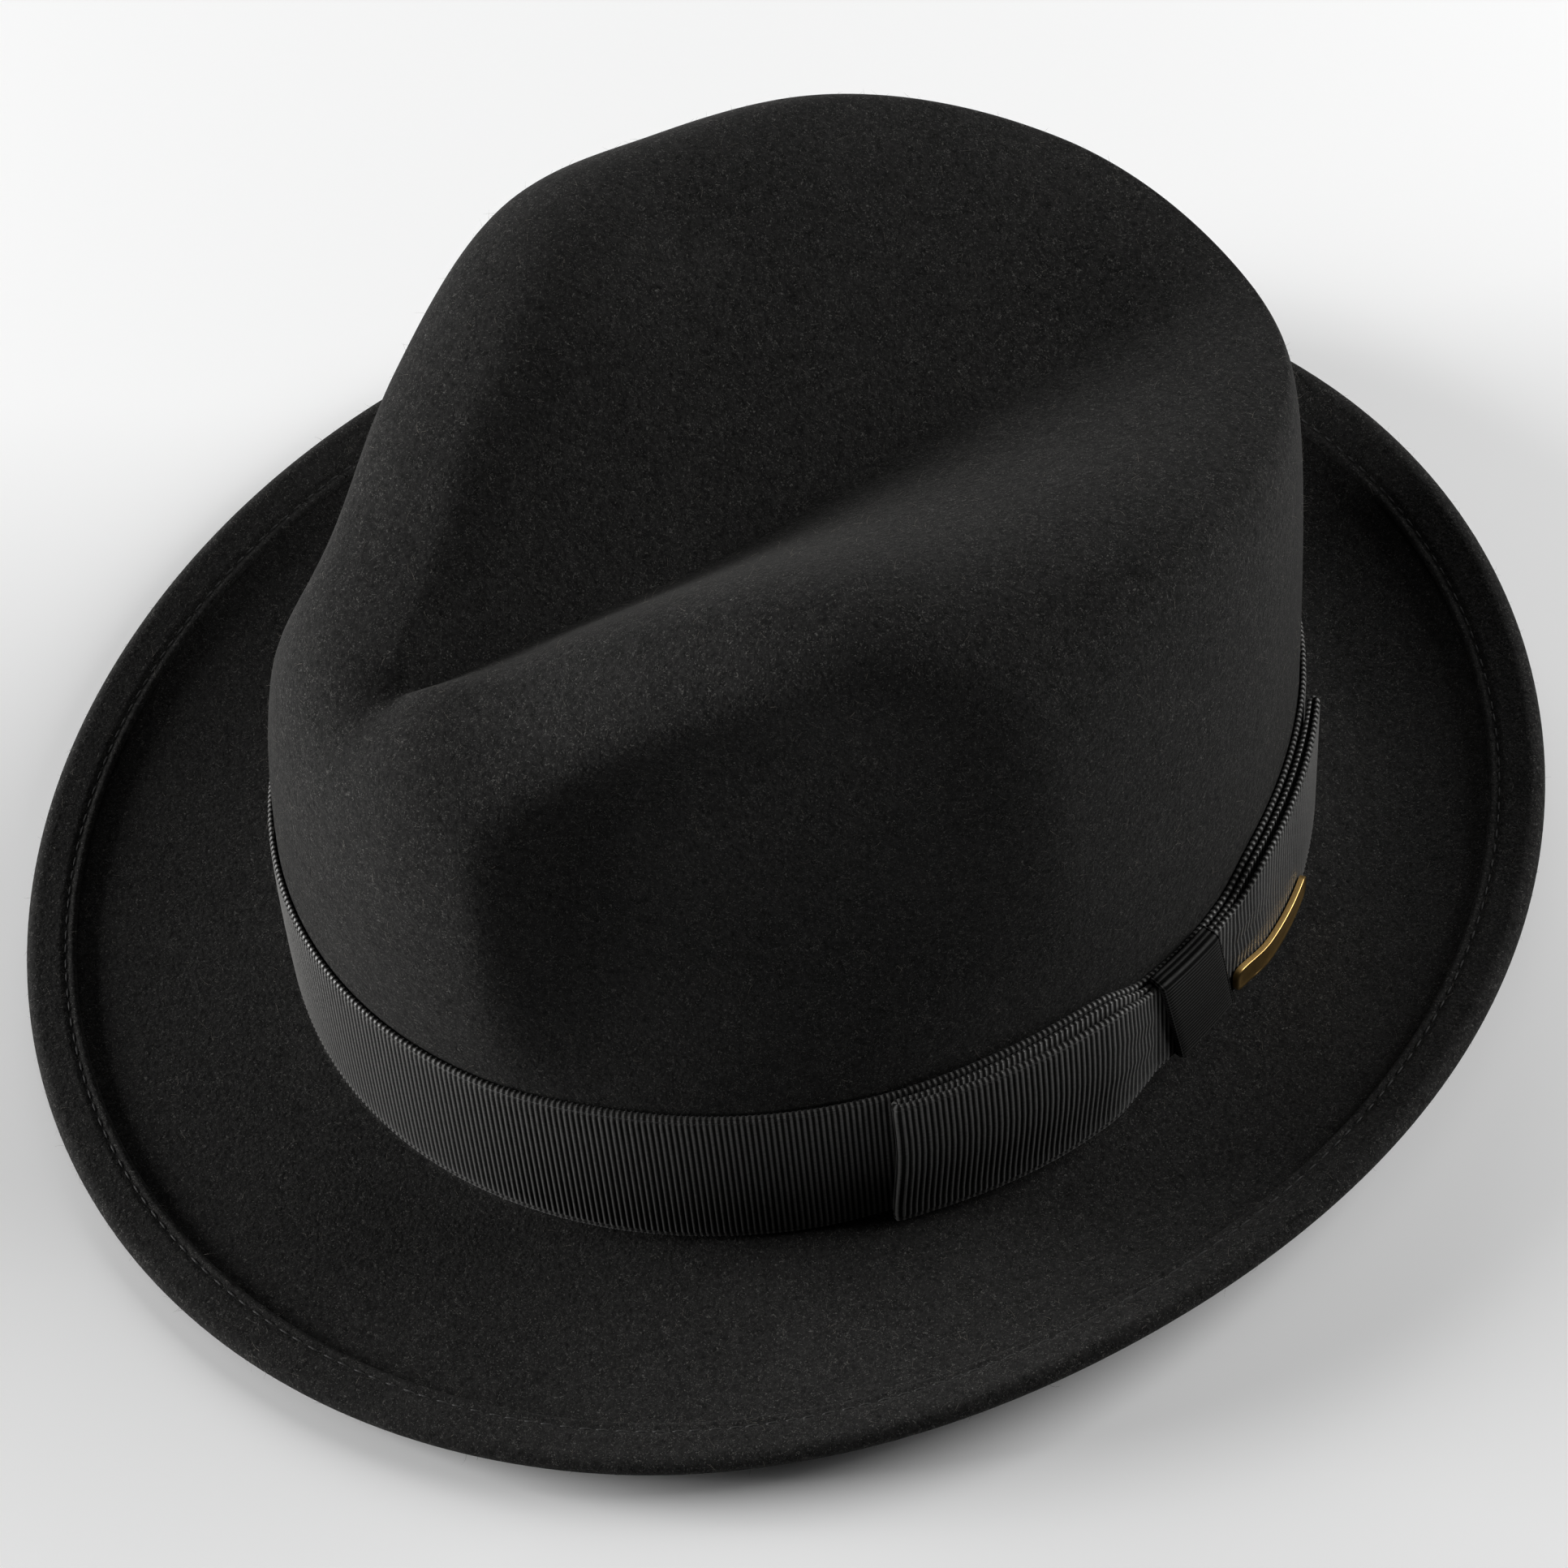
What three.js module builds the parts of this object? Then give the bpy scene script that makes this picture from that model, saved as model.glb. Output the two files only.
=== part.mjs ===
import * as THREE from "three";
import { mergeVertices } from "three/addons/utils/BufferGeometryUtils.js";

// A black felt hat with a creased, pinched crown, a turned-up brim bound by its own folded edge,
// a ribbon band with a flat bow, and a plain metal bar on the bow. Millimetres, +Z up.
// The hat lies on its brim: z = 0 is under the flat ring of felt round the head opening.
// Its front points along -Y and the wearer's left, with the bow, along +X.
// A bearing is an angle round the head oval, 0 at the front and 90 on the wearer's left.

// Driving sizes of the crown
const HEAD_WIDTH = 170; // outside of the crown where it meets the brim, side to side
const HEAD_LENGTH = 198; // the same, front to back
const CROWN_HEIGHT = 130; // highest crest above the brim's upper face
const FELT = 2.2; // thickness of the felt
const CREASE_FROM_FRONT = 30.5; // front of the crown to the front end of the centre crease
const CREASE_FROM_BACK = 23.5; // back of the crown to the back end of the centre crease
const BREAK_RADIUS = 1.5; // hollow corner between crown and brim, on the upper face

// Driving sizes of the brim
const BRIM_WIDTH = 52; // along the felt at the front, fold included
const REST_RING = 11; // flat stretch of the brim next to the crown, which the hat lies on
const WELT_WIDTH = 9.6; // edge of the brim folded back on top of itself
const WELT_FELT = 2; // thickness of the folded layer
const BRIM_CURL = 1.75; // power of the upward curve from the flat ring to the edge

// Driving sizes of the ribbon, the bow and the bar
const RIBBON_WIDTH = 37.5;
const RIBBON = 1; // thickness of one layer of ribbon
const RIBBON_GAP = 0.3; // clearance between layers, and between ribbon and felt
const KNOT_BEARING = 111.5; // middle of the knot
const KNOT_WIDTH = 15;
const KNOT_SLANT = 5; // top of the knot further to the front than its foot
const KNOT_CORNER = 1.4; // radius of the knot's long edges
const FRONT_LOOP = 64; // middle of the knot to the fold of the front loop
const BACK_LOOP = 58; // middle of the knot to the fold of the back loop
const FRONT_HEAVE = 1.6; // bulge of the front loop's outer layer over the flat distance
const BACK_HEAVE = 0.7; // the same for the back loop
const HEAVE_AT = 0.25; // place of that bulge, a share of the way from the knot to the fold
const LOOP_FOLD = 0.8; // radius of the fold at a loop's end, on the middle of the ribbon
const BAR_LENGTH = 28;
const BAR_WIDTH = 6;
const BAR_THICK = 1.1;
const BAR_CORNER = 0.3; // slope of the front face's long edges
const BAR_FROM_KNOT = 0.5; // end of the bar beyond the foot of the knot
const BAR_RAISED = 1.6; // lower edge of the bar above the loop's lower edge

// Form of the crown's profile, shares of its own length and height
const WALL_UPRIGHT = 0.89; // height that the wall keeps before it rounds over
const SHOULDER_REACH = 0.61; // run of the round shoulder, share of the way to the crest
const WALL_LEAN = 0.02; // inward lean of the upright stretch
const TOP_RUN = 0.4; // flat run from the crest before the top falls into the crease
const CREASE_RUN = 0.2; // steep last run down into the crease

// Crown sections by bearing. crestIn is the share of the way from the wall to the centre crease,
// crestUp and creaseDeep are shares of CROWN_HEIGHT, and lastFall is the part of the crease's
// depth in its last run: the crease is round where that is small and sharp where it is large.
const CROWN_SECTIONS = [
  { bearing: 0, crestIn: 0.885, crestUp: 0.733, creaseDeep: 0.012, lastFall: 0.05 },
  { bearing: 20, crestIn: 0.8, crestUp: 0.768, creaseDeep: 0.049, lastFall: 0.06 },
  { bearing: 40, crestIn: 0.71, crestUp: 0.807, creaseDeep: 0.09, lastFall: 0.09 },
  { bearing: 60, crestIn: 0.555, crestUp: 0.91, creaseDeep: 0.2, lastFall: 0.13 },
  { bearing: 80, crestIn: 0.4, crestUp: 1.0, creaseDeep: 0.296, lastFall: 0.15 },
  { bearing: 100, crestIn: 0.32, crestUp: 0.973, creaseDeep: 0.243, lastFall: 0.14 },
  { bearing: 120, crestIn: 0.225, crestUp: 0.94, creaseDeep: 0.182, lastFall: 0.12 },
  { bearing: 150, crestIn: 0.16, crestUp: 0.86, creaseDeep: 0.086, lastFall: 0.08 },
  { bearing: 180, crestIn: 0.12, crestUp: 0.8, creaseDeep: 0.014, lastFall: 0.05 },
];

// Finger pinches. Before and after are spans in degrees of bearing, up, below and above are
// shares of the crest's height, and deep is a share of HEAD_WIDTH. A pinch is round if square
// is 2, and has a flatter floor and steeper sides if it is higher.
const PINCHES = [
  { bearing: 60, before: 30, after: 38, up: 0.8, below: 0.5, above: 0.2, deep: 0.085, square: 2.5 },
  { bearing: 66, before: 30, after: 36, up: 1.0, below: 0.3, above: 0.3, deep: 0.03, square: 2 },
  { bearing: 310, before: 58, after: 24, up: 0.77, below: 0.42, above: 0.22, deep: 0.06, square: 2 },
];

// Brim sections by bearing. reach is a share of BRIM_WIDTH, tilt is the rise of the chord in degrees.
const BRIM_SECTIONS = [
  { bearing: 0, reach: 1.0, tilt: 0 },
  { bearing: 45, reach: 0.98, tilt: 4.7 },
  { bearing: 90, reach: 0.94, tilt: 14.6 },
  { bearing: 135, reach: 0.93, tilt: 13.5 },
  { bearing: 180, reach: 0.925, tilt: 17.5 },
];

// Edges of band and bow by distance along the band from the middle of the knot, a share of the
// loop on that side. low and high are shares of RIBBON_WIDTH, drawn together by the knot.
const GATHER = [
  { along: -1.25, low: 0.0, high: 1.0 },
  { along: -1.0, low: 0.02, high: 1.0 },
  { along: -0.6, low: 0.05, high: 1.0 },
  { along: -0.32, low: 0.09, high: 0.97 },
  { along: -0.17, low: 0.15, high: 0.86 },
  { along: 0.2, low: 0.15, high: 0.86 },
  { along: 0.38, low: 0.07, high: 0.96 },
  { along: 0.7, low: 0.02, high: 1.0 },
  { along: 1.0, low: 0.01, high: 1.0 },
  { along: 1.25, low: 0.0, high: 1.0 },
];

// Fineness of the solids
const AROUND = 64; // columns round the hat, a multiple of 4
const WALL_ROWS = 10;
const TOP_ROWS = 8;
const BRIM_ROWS = 7;
const BREAK_ROWS = 3;
const WELT_ROWS = 2;
const EDGE_ROWS = 4;
const BAND_ROWS = 3;
const LOOP_STATIONS = 12;
const FOLD_STATIONS = 5;
const KNOT_STATIONS = 6;
const BAR_STATIONS = 8;
const HALVINGS = 30; // steps of a search by halving
const STRIDE = 0.5; // step in degrees of a walk along the head oval
const ARRIVED = 1e-9; // rest of a walk that counts as none

const BRIM_TOP = FELT; // height of the brim's upper face beside the crown
const BAND_FOOT = BREAK_RADIUS - RIBBON_GAP; // lower edge of the band, clear of the hollow corner
const HALF_WIDTH = HEAD_WIDTH / 2;
const HALF_LENGTH = HEAD_LENGTH / 2;

// Curves and tables

function bezier(a, b, c, d, share) {
  const rest = 1 - share;
  return rest ** 3 * a + 3 * rest * rest * share * b + 3 * rest * share * share * c + share ** 3 * d;
}

// Value of a table's column at a key, smooth between rows and level past the first and last.
function fromTable(table, key, column, at) {
  const last = table.length - 1;
  const place = THREE.MathUtils.clamp(at, table[0][key], table[last][key]);
  let row = 0;
  while (row < last - 1 && place > table[row + 1][key]) row += 1;
  const slope = (index) => {
    if (index === 0 || index === last) return 0;
    const before = table[index - 1];
    const after = table[index + 1];
    return (after[column] - before[column]) / (after[key] - before[key]);
  };
  const span = table[row + 1][key] - table[row][key];
  const share = (place - table[row][key]) / span;
  const start = table[row][column];
  const end = table[row + 1][column];
  const startLead = start + (slope(row) * span) / 3;
  const endLead = end - (slope(row + 1) * span) / 3;
  return bezier(start, startLead, endLead, end, share);
}

// Smooth hump, 1 in the middle and 0 at the given spans to each side, flatter if square is high.
function hump(offset, before, after, square = 2) {
  const share = Math.min(1, offset < 0 ? -offset / before : offset / after);
  return (1 - share ** square) ** 2;
}

// Shares from 0 to 1 in equal steps, both ends included.
function steps(count) {
  return Array.from({ length: count + 1 }, (_, index) => index / count);
}

// Bearing folded to 0..180, because the felt's sections are alike on both sides.
function fold(bearing) {
  const turned = THREE.MathUtils.euclideanModulo(bearing, 360);
  return turned > 180 ? 360 - turned : turned;
}

// Crown

function breakPoint(bearing) {
  const angle = THREE.MathUtils.degToRad(bearing);
  return new THREE.Vector3(HALF_WIDTH * Math.sin(angle), -HALF_LENGTH * Math.cos(angle), BRIM_TOP);
}

function outward(bearing) {
  const angle = THREE.MathUtils.degToRad(bearing);
  return new THREE.Vector3(HALF_LENGTH * Math.sin(angle), -HALF_WIDTH * Math.cos(angle), 0).normalize();
}

function crown(column, bearing) {
  return fromTable(CROWN_SECTIONS, "bearing", column, fold(bearing));
}

function creasePoint(bearing) {
  const share = (1 - Math.cos(THREE.MathUtils.degToRad(bearing))) / 2;
  const front = -HALF_LENGTH + CREASE_FROM_FRONT;
  const back = HALF_LENGTH - CREASE_FROM_BACK;
  const up = (crown("crestUp", bearing) - crown("creaseDeep", bearing)) * CROWN_HEIGHT;
  return new THREE.Vector3(0, THREE.MathUtils.lerp(front, back, share), BRIM_TOP + up);
}

// Point of the crown's outer face, a share of the way in to the crease at a height over the brim.
function inward(bearing, share, up) {
  const point = breakPoint(bearing).lerp(creasePoint(bearing), share);
  point.z = BRIM_TOP + up;
  return point;
}

function pinchDepth(bearing, heightShare) {
  const depths = PINCHES.map((pinch) => {
    const offset = THREE.MathUtils.euclideanModulo(bearing - pinch.bearing + 180, 360) - 180;
    const along = hump(offset, pinch.before, pinch.after, pinch.square);
    const across = hump(heightShare - pinch.up, pinch.below, pinch.above, pinch.square);
    return pinch.deep * HEAD_WIDTH * along * across;
  });
  return depths.reduce((sum, depth) => sum + depth, 0);
}

// Point of the crown moved level towards the crease.
function pushedIn(bearing, point, depth) {
  const toCrease = creasePoint(bearing).sub(breakPoint(bearing)).setZ(0).normalize();
  return point.addScaledVector(toCrease, depth);
}

// Wall from the brim to the crest, share 0 to 1.
function wallPoint(bearing, share) {
  const crestIn = crown("crestIn", bearing);
  const heightShare = bezier(0, WALL_UPRIGHT, 1, 1, share);
  const shareIn = bezier(0, WALL_LEAN, crestIn * (1 - SHOULDER_REACH), crestIn, share);
  const point = inward(bearing, shareIn, heightShare * crown("crestUp", bearing) * CROWN_HEIGHT);
  return pushedIn(bearing, point, pinchDepth(bearing, heightShare));
}

// Top from the crest down into the crease, share 0 to 1. What a pinch moves the crest dies out here.
function topPoint(bearing, share) {
  const crestIn = crown("crestIn", bearing);
  const rest = 1 - crestIn;
  const shareIn = bezier(crestIn, crestIn + TOP_RUN * rest, 1 - CREASE_RUN * rest, 1, share);
  const fallen = bezier(0, 0, 1 - crown("lastFall", bearing), 1, share);
  const up = crown("crestUp", bearing) - crown("creaseDeep", bearing) * fallen;
  const point = inward(bearing, shareIn, up * CROWN_HEIGHT);
  return pushedIn(bearing, point, pinchDepth(bearing, 1) * (1 - share) ** 2);
}

// Share of the wall at which it stands a height over the brim, found by halving.
function wallShareAt(bearing, up) {
  const target = up / (crown("crestUp", bearing) * CROWN_HEIGHT);
  let low = 0;
  let high = 1;
  for (let step = 0; step < HALVINGS; step += 1) {
    const middle = (low + high) / 2;
    if (bezier(0, WALL_UPRIGHT, 1, 1, middle) < target) low = middle;
    else high = middle;
  }
  return (low + high) / 2;
}

// Brim

function brim(column, bearing) {
  return fromTable(BRIM_SECTIONS, "bearing", column, fold(bearing));
}

const EDGE_RADIUS = (FELT + WELT_FELT) / 2;

// Upper face of the brim in the upright plane along the oval's normal: how far out, how high and
// how steep it is, a share of the way from the flat ring to the edge.
function brimProfile(bearing, share) {
  const tilt = THREE.MathUtils.degToRad(brim("tilt", bearing));
  const chord = brim("reach", bearing) * BRIM_WIDTH - EDGE_RADIUS;
  const run = chord * Math.cos(tilt) - REST_RING;
  const rise = chord * Math.sin(tilt);
  return {
    out: REST_RING + run * share,
    up: rise * share ** BRIM_CURL,
    slope: Math.atan2(rise * BRIM_CURL * share ** (BRIM_CURL - 1), run),
  };
}

// Point of the brim raised along its own normal by the given layer, FELT downwards for its underside.
function brimPoint(bearing, share, layer) {
  const { out, up, slope } = brimProfile(bearing, share);
  const point = breakPoint(bearing).addScaledVector(outward(bearing), out - layer * Math.sin(slope));
  point.z += up + layer * Math.cos(slope);
  return point;
}

// Rounded outer edge, from the top of the fold at share 0 to the underside at share 1.
function edgePoint(bearing, share) {
  const { slope } = brimProfile(bearing, 1);
  const turn = Math.PI * (0.5 - share);
  const middle = brimPoint(bearing, 1, WELT_FELT - EDGE_RADIUS);
  const along = EDGE_RADIUS * Math.cos(turn);
  const above = EDGE_RADIUS * Math.sin(turn);
  const out = along * Math.cos(slope) - above * Math.sin(slope);
  middle.addScaledVector(outward(bearing), out);
  middle.z += along * Math.sin(slope) + above * Math.cos(slope);
  return middle;
}

// Round corner between brim and wall, about a centre beside the wall. Share 0 lies on the brim.
function breakCorner(bearing, share, layer) {
  const turn = (share * Math.PI) / 2;
  const radius = BREAK_RADIUS + layer;
  const point = breakPoint(bearing).addScaledVector(
    outward(bearing),
    BREAK_RADIUS - radius * Math.sin(turn),
  );
  point.z += BREAK_RADIUS - radius * Math.cos(turn);
  return point;
}

// Surfaces

function ringOf(pointAt) {
  return Array.from({ length: AROUND }, (_, index) => pointAt((index * 360) / AROUND));
}

// Rings moved inwards by the felt's thickness, along the normals of the surface that they form.
// The first ring lies on the crease, where both sides meet, and moves straight down.
function innerFace(rings) {
  const crease = rings[0].map((point) => point.clone().setZ(point.z - FELT));
  const rest = rings.slice(1).map((ring, row) =>
    ring.map((point, column) => {
      const before = rings[row][column];
      const after = (rings[row + 2] ?? ring)[column];
      const left = ring[(column + AROUND - 1) % AROUND];
      const right = ring[(column + 1) % AROUND];
      const down = after.clone().sub(before);
      const round = right.clone().sub(left);
      const normal = down.cross(round).normalize();
      return point.clone().addScaledVector(normal, -FELT);
    }),
  );
  return [crease, ...rest];
}

// Closed surface through rings of equal length. Rings run round the surface, each with the next.
function skin(rings, { closed = false, caps = [] } = {}) {
  const count = rings[0].length;
  const positions = rings.flat().flatMap((point) => point.toArray());
  const index = [];
  const last = closed ? rings.length : rings.length - 1;
  for (let row = 0; row < last; row += 1) {
    const here = row * count;
    const next = ((row + 1) % rings.length) * count;
    for (let column = 0; column < count; column += 1) {
      const beside = (column + 1) % count;
      index.push(here + column, next + column, next + beside);
      index.push(here + column, next + beside, here + beside);
    }
  }
  const lastRing = (rings.length - 1) * count;
  for (const [a, b, c] of caps) {
    index.push(a, b, c);
    index.push(lastRing + c, lastRing + b, lastRing + a);
  }
  const geometry = new THREE.BufferGeometry();
  geometry.setAttribute("position", new THREE.Float32BufferAttribute(positions, 3));
  geometry.setIndex(index);
  const merged = mergeVertices(geometry);
  merged.computeVertexNormals();
  return merged;
}

function feltGeometry() {
  const firstWall = (bearing) => wallShareAt(bearing, BREAK_RADIUS);
  const wallRows = steps(WALL_ROWS).map((share) => 1 - share);
  const outerCrown = [
    ...steps(TOP_ROWS).slice(0, -1).map((share) => ringOf((bearing) => topPoint(bearing, 1 - share))),
    ...wallRows.map((share) =>
      ringOf((bearing) => wallPoint(bearing, THREE.MathUtils.lerp(firstWall(bearing), 1, share))),
    ),
  ];
  const corner = steps(BREAK_ROWS).slice(0, -1);
  const weltShare = (bearing) => {
    const { out } = brimProfile(bearing, 1);
    return 1 - (WELT_WIDTH - EDGE_RADIUS) / (out - REST_RING);
  };
  const underWelt = steps(WELT_ROWS).slice(1, -1);
  const upperBrim = steps(BRIM_ROWS).map((share) =>
    ringOf((bearing) => brimPoint(bearing, share * weltShare(bearing), 0)),
  );
  const welt = [0, ...underWelt].map((share) =>
    ringOf((bearing) =>
      brimPoint(bearing, THREE.MathUtils.lerp(weltShare(bearing), 1, share), WELT_FELT),
    ),
  );
  const edge = steps(EDGE_ROWS).map((share) => ringOf((bearing) => edgePoint(bearing, share)));
  const underside = [
    ...underWelt.map((share) =>
      ringOf((bearing) =>
        brimPoint(bearing, THREE.MathUtils.lerp(1, weltShare(bearing), share), -FELT),
      ),
    ),
    ...steps(BRIM_ROWS).map((share) =>
      ringOf((bearing) => brimPoint(bearing, (1 - share) * weltShare(bearing), -FELT)),
    ),
  ];
  const upperCorner = corner
    .map((share) => ringOf((bearing) => breakCorner(bearing, share, 0)))
    .reverse();
  const lowerCorner = corner.map((share) => ringOf((bearing) => breakCorner(bearing, share, FELT)));
  const innerCrown = innerFace(outerCrown).reverse();
  return skin([
    ...outerCrown,
    ...upperCorner,
    ...upperBrim,
    ...welt,
    ...edge,
    ...underside,
    ...lowerCorner,
    ...innerCrown,
  ]);
}

// Ribbon

// Bearing at a distance along the head oval from the middle of the knot, found in short steps.
function bearingAlong(distance) {
  let bearing = KNOT_BEARING;
  let rest = Math.abs(distance);
  const turn = Math.sign(distance);
  while (rest > ARRIVED) {
    const length = breakPoint(bearing).distanceTo(breakPoint(bearing + turn * STRIDE));
    const used = Math.min(1, rest / length);
    bearing += turn * STRIDE * used;
    rest -= length * used;
  }
  return bearing;
}

// Distance along the head oval from the middle of the knot to a bearing, negative to the front.
function alongTo(bearing) {
  const turn = Math.sign(bearing - KNOT_BEARING);
  let distance = 0;
  for (let at = KNOT_BEARING; (bearing - at) * turn > ARRIVED; at += turn * STRIDE) {
    const next = Math.abs(bearing - at) < STRIDE ? bearing : at + turn * STRIDE;
    distance += breakPoint(at).distanceTo(breakPoint(next));
  }
  return distance * turn;
}

// Lower and upper edge of band and bow, over the brim's upper face, at a distance from the knot.
function ribbonEdges(distance) {
  const share = distance < 0 ? distance / FRONT_LOOP : distance / BACK_LOOP;
  const low = fromTable(GATHER, "along", "low", share) * RIBBON_WIDTH;
  const high = fromTable(GATHER, "along", "high", share) * RIBBON_WIDTH;
  return { low: BAND_FOOT + low, high: BAND_FOOT + high };
}

// Point out from the crown's wall, at a bearing and a height over the brim.
function offWall(bearing, up, out) {
  const wall = wallPoint(bearing, wallShareAt(bearing, up));
  return wall.addScaledVector(outward(bearing), out);
}

const BAND_INNER = RIBBON_GAP;
const BAND_OUTER = BAND_INNER + RIBBON;

function bandGeometry() {
  const nearest = (bearing) => (bearing > KNOT_BEARING + 180 ? bearing - 360 : bearing);
  const face = (out, shares) =>
    shares.map((share) =>
      ringOf((bearing) => {
        const { low, high } = ribbonEdges(alongTo(nearest(bearing)));
        return offWall(bearing, THREE.MathUtils.lerp(low, high, share), out);
      }),
    );
  const up = steps(BAND_ROWS);
  return skin([...face(BAND_OUTER, up.toReversed()), ...face(BAND_INNER, up)], { closed: true });
}

// Ribbon or bar laid along the band. Each station holds a section whose points are distances
// along the band, out from the crown and up over the brim.
function alongBand(stations) {
  const rings = stations.map((section) =>
    section.map(({ along, out, up }) => offWall(bearingAlong(along), up, out)),
  );
  const contour = stations[0].map(({ out, up }) => new THREE.Vector2(out, up));
  const triangles = THREE.ShapeUtils.triangulateShape(contour, []);
  const turned = THREE.ShapeUtils.isClockWise(contour);
  const caps = turned ? triangles.map((face) => face.toReversed()) : triangles;
  return skin(rings, { caps });
}

// One layer of ribbon that follows a route of points (distance along the band, distance out).
function ribbonLayer(route) {
  return route.map((point, index) => {
    const before = route[Math.max(index - 1, 0)];
    const after = route[Math.min(index + 1, route.length - 1)];
    const side = new THREE.Vector2().subVectors(after, before).normalize();
    side.rotateAround(new THREE.Vector2(), Math.PI / 2).multiplyScalar(RIBBON / 2);
    const { low, high } = ribbonEdges(point.x);
    const left = point.clone().add(side);
    const right = point.clone().sub(side);
    return [
      { along: right.x, out: right.y, up: high },
      { along: right.x, out: right.y, up: low },
      { along: left.x, out: left.y, up: low },
      { along: left.x, out: left.y, up: high },
    ];
  });
}

const LAYER_STEP = RIBBON + RIBBON_GAP; // from the middle of one layer to the next
const INNER_LAYER = BAND_OUTER + RIBBON_GAP + RIBBON / 2;
const COVERED = (KNOT_WIDTH + KNOT_SLANT) / 2; // reach of the slanting knot over the loops

// Middle of a loop's outer layer, out from the crown: flat under the knot, heaved up beyond it.
// run is the distance from the middle of the knot and end the one at which the layer turns back.
function outerLayer(run, end, heave) {
  const flat = INNER_LAYER + LAYER_STEP;
  const atFold = INNER_LAYER + 2 * LOOP_FOLD;
  const share = THREE.MathUtils.clamp((run - COVERED) / (end - COVERED), 0, 1);
  const bulge = heave * hump(share - HEAVE_AT, HEAVE_AT, 1 - HEAVE_AT);
  return THREE.MathUtils.lerp(flat, atFold, THREE.MathUtils.smoothstep(share, 0, 1)) + bulge;
}

// Flattened loop of ribbon from the knot out to its fold and back. side is -1 to the front.
function loopGeometry(side, reach, heave) {
  const start = RIBBON_GAP;
  const end = reach - LOOP_FOLD - RIBBON / 2;
  const runs = steps(LOOP_STATIONS).map((share) => THREE.MathUtils.lerp(start, end, share));
  const inner = runs.map((run) => new THREE.Vector2(run, INNER_LAYER));
  const outer = runs
    .map((run) => new THREE.Vector2(run, outerLayer(run, end, heave)))
    .reverse();
  const turn = steps(FOLD_STATIONS + 1)
    .slice(1, -1)
    .map((share) => {
      const angle = Math.PI * (share - 0.5);
      const along = end + LOOP_FOLD * Math.cos(angle);
      return new THREE.Vector2(along, INNER_LAYER + LOOP_FOLD * (1 + Math.sin(angle)));
    });
  const route = [...inner, ...turn, ...outer].map((point) => new THREE.Vector2(side * point.x, point.y));
  return alongBand(ribbonLayer(route));
}

// Knot: a slanting channel of ribbon over both loops, whose lips reach back to the band.
function knotGeometry() {
  const inside = INNER_LAYER + LAYER_STEP + RIBBON / 2 + RIBBON_GAP;
  const outside = inside + RIBBON;
  const lip = BAND_OUTER + RIBBON_GAP;
  const front = ribbonEdges(-COVERED);
  const back = ribbonEdges(COVERED);
  const top = Math.max(front.high, back.high) + RIBBON_GAP + RIBBON;
  const bottom = Math.min(front.low, back.low) - RIBBON_GAP - RIBBON;
  const slantAt = (up) => KNOT_SLANT * (0.5 - (up - bottom) / (top - bottom));
  const stations = steps(KNOT_STATIONS).map((share) => {
    const middle = THREE.MathUtils.lerp(-KNOT_WIDTH / 2, KNOT_WIDTH / 2, share);
    const section = [
      [lip, top],
      [outside - KNOT_CORNER, top],
      [outside, top - KNOT_CORNER],
      [outside, bottom + KNOT_CORNER],
      [outside - KNOT_CORNER, bottom],
      [lip, bottom],
      [lip, bottom + RIBBON],
      [inside, bottom + RIBBON],
      [inside, top - RIBBON],
      [lip, top - RIBBON],
    ];
    return section.map(([out, up]) => ({ along: middle + slantAt(up), out, up })).reverse();
  });
  return alongBand(stations);
}

// Bar with rounded long edges, laid on the back loop's outer layer along its lower edge.
function barGeometry() {
  const start = COVERED + BAR_FROM_KNOT;
  const end = BACK_LOOP - LOOP_FOLD - RIBBON / 2;
  const stations = steps(BAR_STATIONS).map((share) => {
    const along = start + BAR_LENGTH * share;
    const back = outerLayer(along, end, BACK_HEAVE) + RIBBON / 2 + RIBBON_GAP;
    const front = back + BAR_THICK;
    const low = ribbonEdges(along).low + BAR_RAISED;
    const high = low + BAR_WIDTH;
    const section = [
      [back, high],
      [front - BAR_CORNER, high],
      [front, high - BAR_CORNER],
      [front, low + BAR_CORNER],
      [front - BAR_CORNER, low],
      [back, low],
    ];
    return section.map(([out, up]) => ({ along, out, up })).reverse();
  });
  return alongBand(stations);
}

// Hat

const FELT_BLACK = new THREE.MeshStandardMaterial({ color: 0x1a1a19, roughness: 1, metalness: 0 });
const RIBBON_BLACK = new THREE.MeshStandardMaterial({ color: 0x242322, roughness: 0.6, metalness: 0 });
const AGED_BRASS = new THREE.MeshStandardMaterial({ color: 0x8a7550, roughness: 0.35, metalness: 1 });

function piece(name, geometry, material) {
  const mesh = new THREE.Mesh(geometry, material);
  mesh.name = name;
  return mesh;
}

const bow = new THREE.Group();
bow.add(
  piece("bow_front_loop", loopGeometry(-1, FRONT_LOOP, FRONT_HEAVE), RIBBON_BLACK),
  piece("bow_knot", knotGeometry(), RIBBON_BLACK),
  piece("bow_back_loop", loopGeometry(1, BACK_LOOP, BACK_HEAVE), RIBBON_BLACK),
  piece("pin_bar", barGeometry(), AGED_BRASS),
);

const hat = new THREE.Group();
hat.add(
  piece("felt_body", feltGeometry(), FELT_BLACK),
  piece("ribbon_band", bandGeometry(), RIBBON_BLACK),
  bow,
);
// The front of the brim is wider than the back: the origin goes under the middle of the whole hat.
hat.position.y = -new THREE.Box3().setFromObject(hat).getCenter(new THREE.Vector3()).y;

export default hat;
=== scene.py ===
"""A black felt hat with ribbon band, flat bow and plain metal bar, dressed over its solids."""

import logging
import math
from collections.abc import Callable
from dataclasses import dataclass, field
from enum import Enum

import bmesh
import bpy
import numpy as np
from mathutils import Matrix, Vector


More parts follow.
